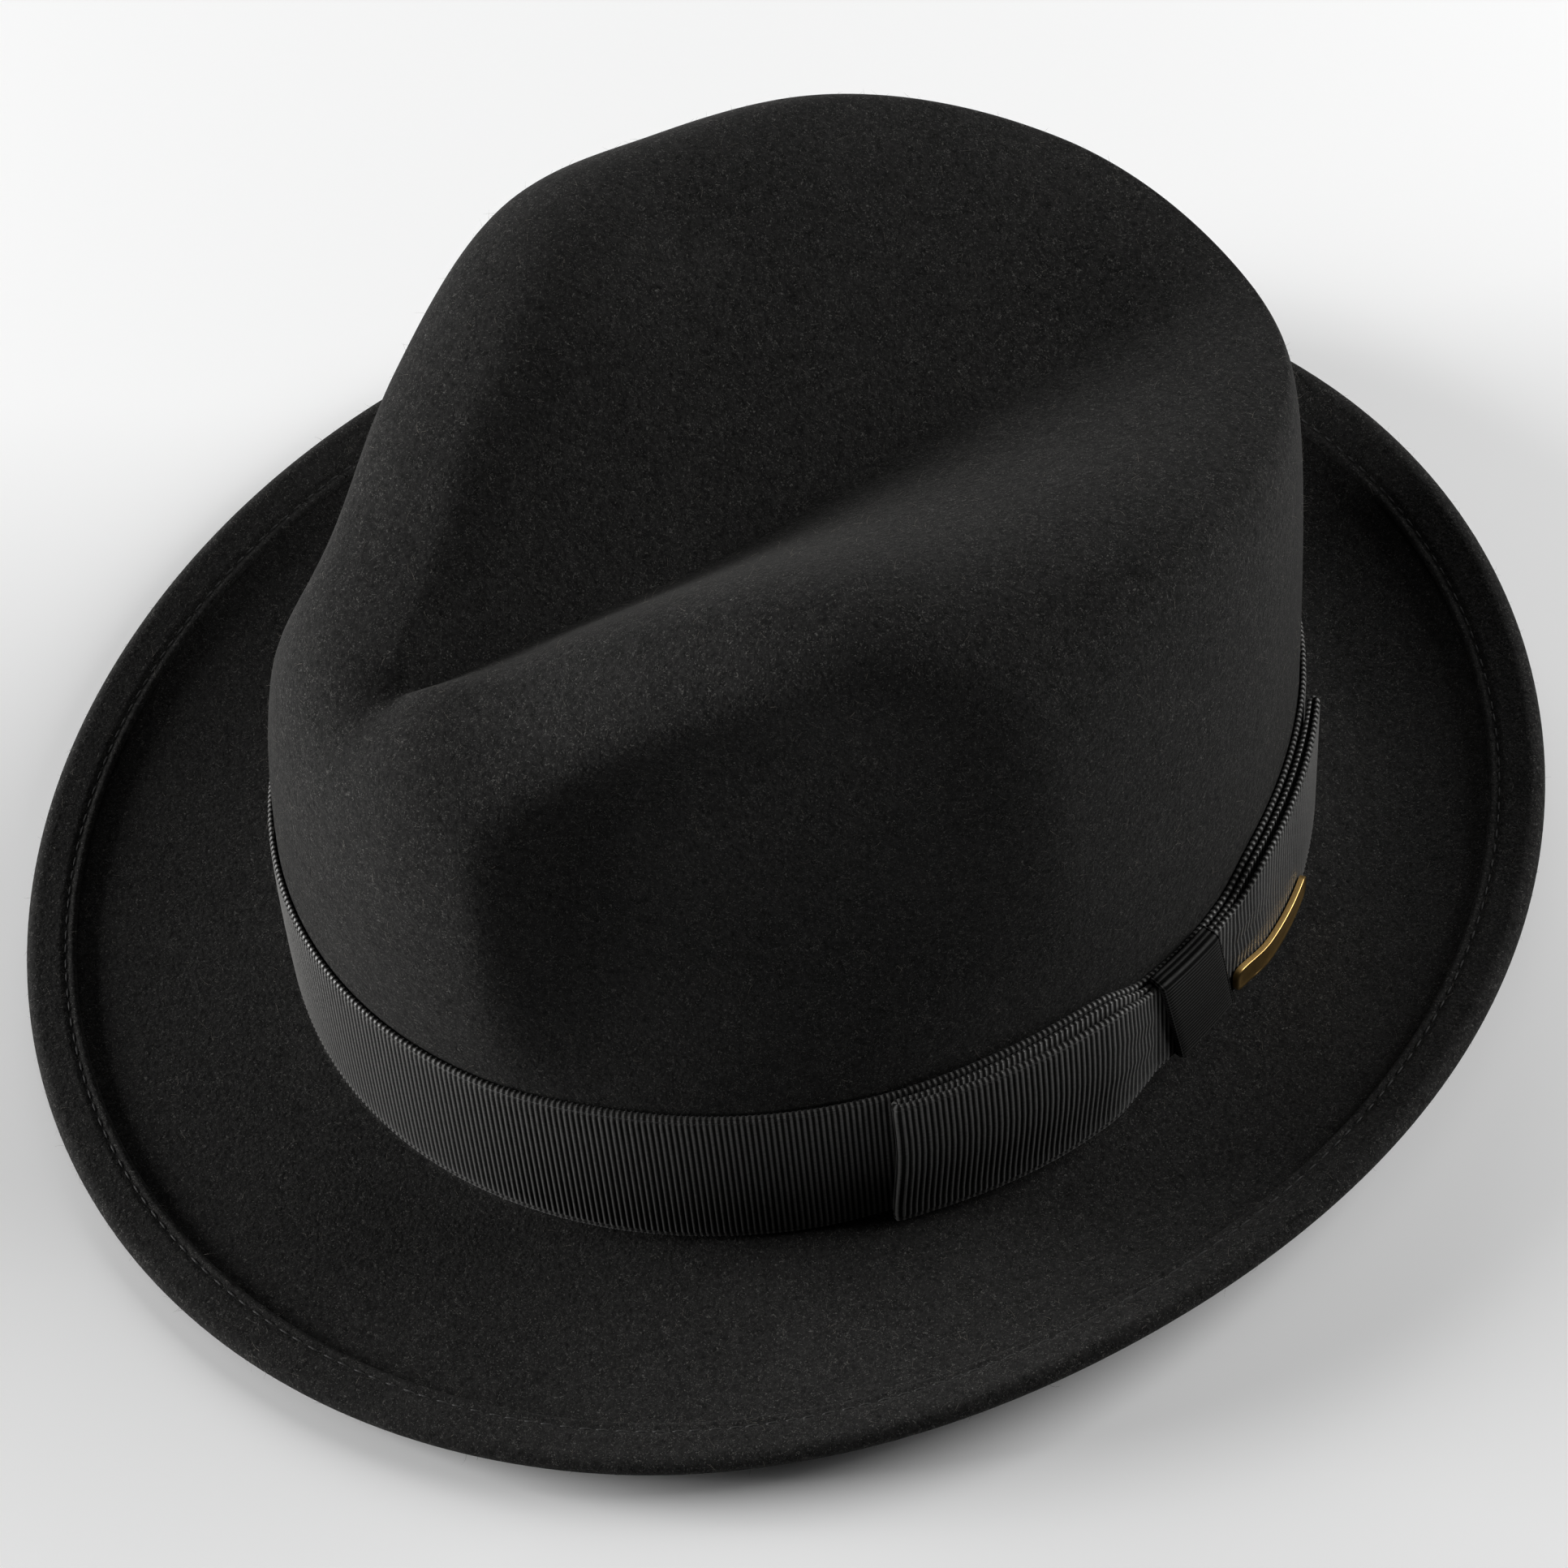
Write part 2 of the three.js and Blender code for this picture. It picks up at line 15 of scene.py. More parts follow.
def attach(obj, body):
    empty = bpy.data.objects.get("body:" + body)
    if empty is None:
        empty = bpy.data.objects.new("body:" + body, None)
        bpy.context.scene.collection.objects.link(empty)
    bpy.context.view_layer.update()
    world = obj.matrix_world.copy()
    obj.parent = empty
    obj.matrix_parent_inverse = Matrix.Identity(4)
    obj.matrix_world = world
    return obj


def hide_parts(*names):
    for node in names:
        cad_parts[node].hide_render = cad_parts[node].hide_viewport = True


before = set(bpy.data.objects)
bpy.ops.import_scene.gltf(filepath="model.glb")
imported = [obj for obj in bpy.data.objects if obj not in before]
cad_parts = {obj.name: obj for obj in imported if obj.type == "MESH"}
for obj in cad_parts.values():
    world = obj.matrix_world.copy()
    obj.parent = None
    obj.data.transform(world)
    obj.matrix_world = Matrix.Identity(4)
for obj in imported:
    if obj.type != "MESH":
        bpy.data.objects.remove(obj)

LOG = logging.getLogger("felt_hat")
MM = 0.001
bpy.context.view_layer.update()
HALVINGS = 30
COLUMNS_PER_RIB = 4
Array = np.ndarray
Values = float | Array
Piece = bpy.types.Object
Socket = bpy.types.NodeSocket
Colour = tuple[float, float, float]
Placing = Callable[[Array, Array, Array], Array]


# Curves and tables


def bezier(a: Values, b: Values, c: Values, d: Values, share: Values) -> Values:
    """Cubic curve through a and d, led by b and c.

    Args:
        a, b, c, d: numbers or arrays of one shape.
        share: place along the curve, 0 to 1.

    Returns:
        The curve's value, in the shape of share.
    """
    rest = 1 - share
    return rest**3 * a + 3 * rest**2 * share * b + 3 * rest * share**2 * c + share**3 * d


def from_table(rows: tuple, column: str, at: Array) -> Array:
    """Smooth value of a table's column, level past its first and last row.

    Args:
        rows: table rows, each with a field named at.
        column: name of the field that is read.
        at: places along the table.

    Returns:
        One value for each place.
    """
    keys = np.array([row.at for row in rows], float)
    values = np.array([getattr(row, column) for row in rows], float)
    slopes = np.zeros(len(keys))
    slopes[1:-1] = (values[2:] - values[:-2]) / (keys[2:] - keys[:-2])
    place = np.clip(at, keys[0], keys[-1])
    row = np.clip(np.searchsorted(keys, place, side="left") - 1, 0, len(keys) - 2)
    span = keys[row + 1] - keys[row]
    start, end = values[row], values[row + 1]
    lead, tail = slopes[row] * span / 3, slopes[row + 1] * span / 3
    return bezier(start, start + lead, end - tail, end, (place - keys[row]) / span)


def hump(offset: Array, before: float, after: float, square: float = 2) -> Array:
    """Smooth hump, 1 in the middle and 0 at its spans, flatter if square is high."""
    share = np.clip(np.where(offset < 0, -offset / before, offset / after), 0, 1)
    return (1 - share**square) ** 2


def folded(bearing: Array) -> Array:
    """Bearing folded to 0..180, for tables that both sides of the felt share."""
    turned = np.mod(bearing, 360)
    return np.where(turned > 180, 360 - turned, turned)


def smoothstep(share: Array) -> Array:
    """Smooth rise from 0 to 1 over shares 0 to 1."""
    inside = np.clip(share, 0, 1)
    return inside * inside * (3 - 2 * inside)


def running(steps: Array) -> Array:
    """Lengths at the ends of steps, from 0."""
    return np.concatenate([[0], np.cumsum(steps)])


def unit(vectors: Array) -> Array:
    """Vectors made one long."""
    return vectors / np.linalg.norm(vectors, axis=-1, keepdims=True)


# Forms of the felt, in millimetres


@dataclass(frozen=True)
class CrownSection:
    """One section of the crown by bearing, lengths as shares of the crown's sizes.

    The crease is round where last_fall, its depth's share in its last run, is small.
    """

    at: float
    crest_in: float
    crest_up: float
    crease_deep: float
    last_fall: float


@dataclass(frozen=True)
class Pinch:
    """One finger pinch, its spans in degrees of bearing and shares of the crest's height."""

    at: float
    before: float
    after: float
    up: float
    below: float
    above: float
    deep: float
    square: float


@dataclass(frozen=True)
class BrimSection:
    """One section of the brim by bearing: its reach as a share and its tilt in degrees."""

    at: float
    reach: float
    tilt: float


@dataclass(frozen=True)
class Crown:
    """Outer face of the crown, from the brim over the crest into the centre crease."""

    head_width: float = 170
    head_length: float = 198
    height: float = 130
    felt: float = 2.2
    crease_from_front: float = 30.5
    crease_from_back: float = 23.5
    break_radius: float = 1.5
    wall_upright: float = 0.89
    shoulder_reach: float = 0.61
    wall_lean: float = 0.02
    top_run: float = 0.4
    crease_run: float = 0.2
    sections: tuple[CrownSection, ...] = (
        CrownSection(0, 0.885, 0.733, 0.012, 0.05),
        CrownSection(20, 0.8, 0.768, 0.049, 0.06),
        CrownSection(40, 0.71, 0.807, 0.09, 0.09),
        CrownSection(60, 0.555, 0.91, 0.2, 0.13),
        CrownSection(80, 0.4, 1, 0.296, 0.15),
        CrownSection(100, 0.32, 0.973, 0.243, 0.14),
        CrownSection(120, 0.225, 0.94, 0.182, 0.12),
        CrownSection(150, 0.16, 0.86, 0.086, 0.08),
        CrownSection(180, 0.12, 0.8, 0.014, 0.05),
    )
    pinches: tuple[Pinch, ...] = (
        Pinch(60, 30, 38, 0.8, 0.5, 0.2, 0.085, 2.5),
        Pinch(66, 30, 36, 1.0, 0.3, 0.3, 0.03, 2),
        Pinch(310, 58, 24, 0.77, 0.42, 0.22, 0.06, 2),
    )

    def foot(self, bearing: Array) -> Array:
        """Points where the crown meets the brim's upper face."""
        angle = np.radians(bearing)
        x = self.head_width / 2 * np.sin(angle)
        y = -self.head_length / 2 * np.cos(angle)
        return np.stack([x, y, np.full_like(x, self.felt)], -1)

    def outward(self, bearing: Array) -> Array:
        """Level unit vectors out of the head oval."""
        angle = np.radians(bearing)
        x, y = self.head_length * np.sin(angle), -self.head_width * np.cos(angle)
        return unit(np.stack([x, y, np.zeros_like(x)], -1))

    def section(self, column: str, bearing: Array) -> Array:
        """Value of a section's column at bearings."""
        return from_table(self.sections, column, folded(bearing))

    def crease(self, bearing: Array) -> Array:
        """Points of the centre crease that bearings lead to."""
        share = (1 - np.cos(np.radians(bearing))) / 2
        front = -self.head_length / 2 + self.crease_from_front
        back = self.head_length / 2 - self.crease_from_back
        y = front + (back - front) * share
        up = self.section("crest_up", bearing) - self.section("crease_deep", bearing)
        return np.stack([np.zeros_like(y), y, self.felt + up * self.height], -1)

    def inward(self, bearing: Array, share: Array, up: Array) -> Array:
        """Points a share of the way in to the crease, at heights over the brim."""
        foot, crease = self.foot(bearing), self.crease(bearing)
        points = foot + (crease - foot) * share[..., None]
        points[..., 2] = self.felt + up
        return points

    def pinch_depth(self, bearing: Array, height_share: Array) -> Array:
        """How far the pinches push the wall in."""
        depth = np.zeros(np.broadcast(bearing, height_share).shape)
        for pinch in self.pinches:
            offset = np.mod(bearing - pinch.at + 180, 360) - 180
            along = hump(offset, pinch.before, pinch.after, pinch.square)
            across = hump(height_share - pinch.up, pinch.below, pinch.above, pinch.square)
            depth += pinch.deep * self.head_width * along * across
        return depth

    def pushed_in(self, bearing: Array, points: Array, depth: Array) -> Array:
        """Points moved level towards the crease by depths."""
        to_crease = (self.crease(bearing) - self.foot(bearing))[..., :2]
        points[..., :2] += unit(to_crease) * depth[..., None]
        return points

    def wall(self, bearing: Array, share: Array) -> Array:
        """Points of the wall, share 0 at the brim and 1 at the crest."""
        crest_in = self.section("crest_in", bearing)
        height_share = bezier(0, self.wall_upright, 1, 1, share)
        reach = crest_in * (1 - self.shoulder_reach)
        share_in = bezier(0, self.wall_lean, reach, crest_in, share)
        up = height_share * self.section("crest_up", bearing) * self.height
        points = self.inward(bearing, share_in, up)
        return self.pushed_in(bearing, points, self.pinch_depth(bearing, height_share))

    def top(self, bearing: Array, share: Array) -> Array:
        """Points of the top, share 0 at the crest and 1 in the crease."""
        crest_in = self.section("crest_in", bearing)
        rest = 1 - crest_in
        run = crest_in + self.top_run * rest
        share_in = bezier(crest_in, run, 1 - self.crease_run * rest, 1, share)
        fallen = bezier(0, 0, 1 - self.section("last_fall", bearing), 1, share)
        deep = self.section("crease_deep", bearing) * fallen
        up = (self.section("crest_up", bearing) - deep) * self.height
        depth = self.pinch_depth(bearing, np.ones_like(share)) * (1 - share) ** 2
        return self.pushed_in(bearing, self.inward(bearing, share_in, up), depth)

    def wall_share_at(self, bearing: Array, up: Array) -> Array:
        """Shares of the wall at which it stands heights over the brim."""
        target = up / (self.section("crest_up", bearing) * self.height)
        low, high = np.zeros_like(target), np.ones_like(target)
        for _ in range(HALVINGS):
            middle = (low + high) / 2
            below = bezier(0, self.wall_upright, 1, 1, middle) < target
            low, high = np.where(below, middle, low), np.where(below, high, middle)
        return (low + high) / 2

    def off_wall(self, bearing: Array, up: Array, out: Array) -> Array:
        """Points out from the wall at bearings and heights over the brim."""
        wall = self.wall(bearing, self.wall_share_at(bearing, up))
        return wall + self.outward(bearing) * out[..., None]


@dataclass(frozen=True)
class Brim:
    """Brim with its edge folded back on top of itself."""

    crown: Crown
    width: float = 52
    rest_ring: float = 11
    welt_width: float = 9.6
    welt_felt: float = 2
    curl: float = 1.75
    sections: tuple[BrimSection, ...] = (
        BrimSection(0, 1.0, 0),
        BrimSection(45, 0.98, 4.7),
        BrimSection(90, 0.94, 14.6),
        BrimSection(135, 0.93, 13.5),
        BrimSection(180, 0.925, 17.5),
    )

    @property
    def edge_radius(self) -> float:
        """Radius of the rounded outer edge."""
        return (self.crown.felt + self.welt_felt) / 2

    def profile(self, bearing: Array, share: Array) -> tuple:
        """Upper face in the upright plane along the oval's normal.

        Args:
            bearing: bearings round the head oval.
            share: places from the flat ring, 0, to the edge, 1.

        Returns:
            How far out it is, how high, and its slope in radians.
        """
        tilt = np.radians(from_table(self.sections, "tilt", folded(bearing)))
        reach = from_table(self.sections, "reach", folded(bearing))
        chord = reach * self.width - self.edge_radius
        run = chord * np.cos(tilt) - self.rest_ring
        rise = chord * np.sin(tilt)
        slope = np.arctan2(rise * self.curl * share ** (self.curl - 1), run)
        return self.rest_ring + run * share, rise * share**self.curl, slope

    def point(self, bearing: Array, share: Array, layer: Array) -> Array:
        """Points raised off the upper face along its own normal."""
        out, up, slope = self.profile(bearing, share)
        push = out - layer * np.sin(slope)
        points = self.crown.foot(bearing) + self.crown.outward(bearing) * push[..., None]
        points[..., 2] += up + layer * np.cos(slope)
        return points

    def share_inside(self, bearing: Array, inside: float) -> Array:
        """Share of the brim at a distance inside the middle of its rounded edge."""
        out, _, _ = self.profile(bearing, np.ones_like(bearing))
        return 1 - inside / (out - self.rest_ring)

    def edge(self, bearing: Array, share: float) -> Array:
        """Points of the rounded edge, from the fold's top at 0 to the underside at 1."""
        ones = np.ones_like(bearing)
        _, _, slope = self.profile(bearing, ones)
        radius = self.edge_radius
        turn = math.pi * (0.5 - share)
        along, above = radius * math.cos(turn), radius * math.sin(turn)
        points = self.point(bearing, ones, (self.welt_felt - radius) * ones)
        push = along * np.cos(slope) - above * np.sin(slope)
        points += self.crown.outward(bearing) * push[..., None]
        points[..., 2] += along * np.sin(slope) + above * np.cos(slope)
        return points

    def corner(self, bearing: Array, share: float, layer: float) -> Array:
        """Points of the round corner under the wall, share 0 on the brim."""
        turn = share * math.pi / 2
        radius = self.crown.break_radius + layer
        push = self.crown.break_radius - radius * math.sin(turn)
        points = self.crown.foot(bearing) + self.crown.outward(bearing) * push
        points[..., 2] += self.crown.break_radius - radius * math.cos(turn)
        return points

    def middle(self) -> float:
        """How far the middle of the whole hat lies behind the middle of the head oval."""
        ends = self.edge(np.array([0.0, 180.0]), 0.5)[:, 1]
        return float(ends.mean())


# Meshes


def lattice(rows: int, columns: int, wrap_rows: bool, wrap_columns: bool) -> tuple:
    """Quads over a lattice of points.

    Args:
        rows, columns: size of the lattice.
        wrap_rows: the last row joins the first.
        wrap_columns: the last column joins the first.

    Returns:
        Corner indices of each quad, and each corner's row and column before it wraps.
    """
    last_row = rows if wrap_rows else rows - 1
    last_column = columns if wrap_columns else columns - 1
    row, column = np.meshgrid(np.arange(last_row), np.arange(last_column), indexing="ij")
    across = np.stack([row, row + 1, row + 1, row], -1).reshape(-1, 4)
    along = np.stack([column, column, column + 1, column + 1], -1).reshape(-1, 4)
    return (across % rows) * columns + along % columns, across, along


def enclosed(points: Array, quads: Array) -> float:
    """Signed volume under the quads, negative if they face inwards."""
    a, b, c, d = (points[quads[:, corner]] for corner in range(4))
    first = np.einsum("ij,ij->i", a, np.cross(b, c))
    second = np.einsum("ij,ij->i", a, np.cross(c, d))
    return float((first + second).sum() / 6)


def hung(name: str, data: bpy.types.ID) -> Piece:
    """New object in the scene that holds the data."""
    holder = bpy.data.objects.new(name, data)
    bpy.context.scene.collection.objects.link(holder)
    return holder


def edges_longer(form: bmesh.types.BMesh, axis: int, least: float) -> list:
    """Edges that reach further than a length along an axis."""
    ends = ((edge, *(vertex.co[axis] for vertex in edge.verts)) for edge in form.edges)
    return [edge for edge, start, end in ends if abs(start - end) > least]


def new_piece(name: str, points: Array, faces: list) -> Piece:
    """Makes a smooth object at the origin from points in metres.

    Args:
        name: the piece's name.
        points: corner places.
        faces: lists of corner indices.

    Returns:
        The new object.
    """
    mesh = bpy.data.meshes.new(name)
    mesh.from_pydata(points.tolist(), [], faces)
    mesh.update()
    mesh.polygons.foreach_set("use_smooth", [True] * len(mesh.polygons))
    return hung(name, mesh)


def dress(piece: Piece, material: bpy.types.Material, nodes: tuple = ()) -> None:
    """Gives a piece its material, its body and the nodes that it stands for.

    Args:
        piece: the finished piece.
        material: its finish.
        nodes: solids that the piece replaces.
    """
    piece.data.materials.clear()
    piece.data.materials.append(material)
    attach(piece, "root")
    if nodes:
        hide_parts(*nodes)
    LOG.info("%s: %d faces", piece.name, len(piece.data.polygons))


# Finishes


class Recipe:
    """A material's node tree, built node by node.

    LOW, HIGH and BETWEEN number the sockets of a Mix node that hold colours.
    """

    LOW, HIGH, BETWEEN = 6, 7, 2

    def __init__(self, name: str) -> None:
        """Starts a material with a Principled shader."""
        self.material = bpy.data.materials.new(name)
        self.material.use_nodes = True
        self.tree = self.material.node_tree
        self.shader = self.tree.nodes["Principled BSDF"]

    def add(self, kind: str, **values: object) -> bpy.types.Node:
        """Adds a node and sets its properties or inputs by name.

        Args:
            kind: the node's type.
            values: properties, or inputs with their spaces written as underscores.

        Returns:
            The new node.
        """
        node = self.tree.nodes.new(kind)
        for key, value in values.items():
            if hasattr(node, key):
                setattr(node, key, value)
            else:
                node.inputs[key.replace("_", " ")].default_value = value
        return node

    def link(self, source: Socket, target: Socket) -> None:
        """Joins an output to an input."""
        self.tree.links.new(source, target)

    def set(self, **values: object) -> None:
        """Sets the shader's own sockets."""
        for key, value in values.items():
            self.shader.inputs[key.replace("_", " ")].default_value = value

    def place(self) -> Socket:
        """Object coordinates in metres."""
        return self.add("ShaderNodeTexCoord").outputs["Object"]

    def noise(self, place: Socket, size: float, detail: float = 3, twist: float = 0) -> Socket:
        """Noise whose features are about the given size in metres."""
        node = self.add("ShaderNodeTexNoise", Scale=1 / size, Detail=detail, Distortion=twist)
        self.link(place, node.inputs["Vector"])
        return node.outputs["Fac"]

    def reshape(
        self, value: Socket, low: float, high: float, start: float = 0, end: float = 1
    ) -> Socket:
        """Maps low and high of a value to start and end, held beyond them."""
        limits = {"From_Min": low, "From_Max": high, "To_Min": start, "To_Max": end}
        node = self.add("ShaderNodeMapRange", **limits)
        self.link(value, node.inputs["Value"])
        return node.outputs["Result"]

    def math(self, operation: str, *terms: object) -> Socket:
        """A sum, product or other operation on sockets and numbers."""
        node = self.add("ShaderNodeMath", operation=operation)
        for socket, term in zip(node.inputs, terms):
            if isinstance(term, Socket):
                self.link(term, socket)
            else:
                socket.default_value = term
        return node.outputs[0]

    def blend(self, *parts: tuple) -> Socket:
        """Sum of sockets, each given with its weight."""
        first, *others = (self.math("MULTIPLY", socket, weight) for socket, weight in parts)
        for other in others:
            first = self.math("ADD", first, other)
        return first

    def colours(self, factor: Socket, low: Colour, high: Colour) -> Socket:
        """A colour between two others."""
        node = self.add("ShaderNodeMix", data_type="RGBA")
        node.inputs[self.LOW].default_value = (*low, 1)
        node.inputs[self.HIGH].default_value = (*high, 1)
        self.link(factor, node.inputs["Factor"])
        return node.outputs[self.BETWEEN]

    def paint(self, factor: Socket, low: Colour, high: Colour) -> None:
        """Base colour between two others."""
        self.link(self.colours(factor, low, high), self.shader.inputs["Base Color"])

    def bump(self, height: Socket, distance: float, strength: float) -> None:
        """Bump on the shader from a height field."""
        node = self.add("ShaderNodeBump", Distance=distance, Strength=strength)
        self.link(height, node.inputs["Height"])
        self.link(node.outputs[0], self.shader.inputs["Normal"])


@dataclass(frozen=True)
class FeltFinish:
    """Matt wool felt: a mottled nap with lighter flecks and a soft bloom at glancing angles."""

    name: str = "black_felt"
    deep: Colour = (0.0034, 0.0033, 0.0032)
    raised: Colour = (0.0215, 0.0211, 0.0203)
    hair: Colour = (0.085, 0.083, 0.078)
    nap: float = 0.0008
    fleck: float = 0.0024
    cloud: float = 0.03
    strand: float = 0.0005
    sheen: float = 0.04

    def material(self) -> bpy.types.Material:
        """Builds the felt's material."""
        recipe = Recipe(self.name)
        place = recipe.place()
        nap = recipe.noise(place, self.nap, detail=4, twist=0.3)
        fleck = recipe.noise(place, self.fleck, detail=5, twist=0.8)
        cloud = recipe.noise(place, self.cloud, detail=2)
        mottled = recipe.blend((nap, 0.55), (fleck, 0.3), (cloud, 0.15))
        body = recipe.colours(recipe.reshape(mottled, low=0.34, high=0.68), self.deep, self.raised)
        strand = recipe.noise(place, self.strand, detail=2, twist=2.0)
        strand = recipe.reshape(strand, low=0.58, high=0.72)
        speckled = recipe.colours(strand, self.raised, self.hair)
        recipe.link(body, speckled.node.inputs[recipe.LOW])
        recipe.link(speckled, recipe.shader.inputs["Base Color"])
        recipe.set(Roughness=0.95, Specular_IOR_Level=0.12)
        recipe.set(Sheen_Weight=self.sheen, Sheen_Roughness=0.45, Sheen_Tint=(0.32, 0.315, 0.3, 1))
        recipe.bump(recipe.blend((nap, 1), (fleck, 0.4)), distance=0.0004, strength=0.55)
        return recipe.material


@dataclass(frozen=True)
class GrosgrainFinish:
    """Ribbed ribbon: its colour darkens between the ribs as painted shade, with fine yarns across
    each rib and a low gloss.
    """

    name: str = "black_grosgrain"
    # deep is painted shade in the grooves between the ribs; raised is the colour of the rib tops.
    deep: Colour = (0.0012, 0.0012, 0.0011)
    raised: Colour = (0.13, 0.1275, 0.1225)
    pitch: float = 0.00108
    yarn: float = 0.00034
    slub: float = 0.0005
    # between_ribs lifts the painted shade of the grooves this share of the way towards the rib
    # tops' colour.
    between_ribs: float = 0.12
    roughness: float = 0.4
    gloss: float = 0.6

    def material(self) -> bpy.types.Material:
        """Builds the ribbon's material on its own map, along in x and across in y."""
        recipe = Recipe(self.name)
        weave = recipe.add("ShaderNodeUVMap", uv_map=RibbonWeave.MAP).outputs[0]
        split = recipe.add("ShaderNodeSeparateXYZ")
        recipe.link(weave, split.inputs[0])
        along = recipe.math("MULTIPLY", split.outputs[0], 2 * math.pi / self.pitch)
        # rib is 1 on a rib's top and 0 between ribs; the colour follows it, which paints shade
        # into the grooves.
        rib = recipe.reshape(recipe.math("COSINE", along), low=-0.9, high=0.3, start=1, end=0)
        across = recipe.math("MULTIPLY", split.outputs[1], 2 * math.pi / self.yarn)
        yarns = recipe.reshape(recipe.math("SINE", across), low=-1, high=1)
        stretch = recipe.add("ShaderNodeMapping", Scale=(0.35, 1, 1))
        recipe.link(weave, stretch.inputs["Vector"])
        slub = recipe.noise(stretch.outputs[0], self.slub)
        uneven = recipe.reshape(slub, low=0.3, high=0.7, start=0.45, end=1.15)
        # Painted shade between the ribs, made uneven by slubs and by the yarns.
        painted_groove_shade_and_weave = recipe.math("MULTIPLY", recipe.math("ADD", rib, self.between_ribs), uneven)
        painted_groove_shade_and_weave = recipe.math("MULTIPLY", painted_groove_shade_and_weave, recipe.reshape(yarns, low=0, high=1, start=0.72))
        recipe.paint(painted_groove_shade_and_weave, self.deep, self.raised)
        recipe.set(Roughness=self.roughness, Sheen_Weight=0.1, Sheen_Roughness=0.4)
        gloss = recipe.math("MULTIPLY", rib, self.gloss)
        recipe.link(gloss, recipe.shader.inputs["Specular IOR Level"])
        recipe.bump(recipe.blend((yarns, 0.6), (slub, 1)), distance=0.00012, strength=0.6)
        return recipe.material


@dataclass(frozen=True)
class ThreadFinish:
    """Sewing thread of the folded edge."""

    name: str = "black_thread"
    colour: Colour = (0.016, 0.0158, 0.0152)
    fleck: Colour = (0.03, 0.0296, 0.0285)

    def material(self) -> bpy.types.Material:
        """Builds the thread's material."""
        recipe = Recipe(self.name)
        twist = recipe.noise(recipe.place(), size=0.0004, detail=2)
        twist = recipe.reshape(twist, low=0.35, high=0.65)
        recipe.paint(twist, self.colour, self.fleck)
        recipe.set(Roughness=0.6, Specular_IOR_Level=0.35)
        recipe.bump(twist, distance=0.00008, strength=0.5)
        return recipe.material


@dataclass(frozen=True)
class BrassFinish:
    """Aged brass, rubbed bright on its rim and dark in its hollow."""

    name: str = "aged_brass"
    bright: Colour = (0.68, 0.45, 0.17)
    dull: Colour = (0.36, 0.22, 0.075)

    def material(self) -> bpy.types.Material:
        """Builds the bar's material from its wear attribute."""
        recipe = Recipe(self.name)
        wear = recipe.add("ShaderNodeAttribute", attribute_name=PinBar.WEAR).outputs["Fac"]
        place = recipe.place()
        patina = recipe.noise(place, size=0.0022, detail=4, twist=0.8)
        patina = recipe.reshape(patina, low=0.35, high=0.65)
        share = recipe.blend((wear, 0.75), (patina, 0.3))
        recipe.paint(share, self.dull, self.bright)
        recipe.set(Metallic=1.0)
        roughness = recipe.reshape(share, low=0, high=1, start=0.55, end=0.3)
        recipe.link(roughness, recipe.shader.inputs["Roughness"])
        pits = recipe.noise(place, size=0.0007, detail=4)
        recipe.bump(pits, distance=0.00008, strength=0.4)
        return recipe.material


@dataclass(frozen=True)
class FibreFinish:
    """Stray wool fibres, lighter than the felt that they stand out of."""

    name: str = "stray_wool"
    dark: Colour = (0.035, 0.034, 0.031)
    light: Colour = (0.19, 0.172, 0.148)

    def material(self) -> bpy.types.Material:
        """Builds the fibres' material."""
        recipe = Recipe(self.name)
        share = recipe.noise(recipe.place(), size=0.006, detail=1)
        recipe.paint(recipe.reshape(share, low=0.4, high=0.62), self.dark, self.light)
        recipe.set(Roughness=0.7, Specular_IOR_Level=0.2)
        return recipe.material


@dataclass(frozen=True)
class FloorFinish:
    """Plain pale floor with a trace of unevenness."""

    name: str = "pale_floor"
    pale: Colour = (0.93, 0.93, 0.93)
    paler: Colour = (0.95, 0.95, 0.95)

    def material(self) -> bpy.types.Material:
        """Builds the floor's material."""
        recipe = Recipe(self.name)
        recipe.paint(recipe.noise(recipe.place(), size=0.4, detail=2), self.pale, self.paler)
        recipe.set(Roughness=0.9, Specular_IOR_Level=0.1)
        return recipe.material


# Pieces


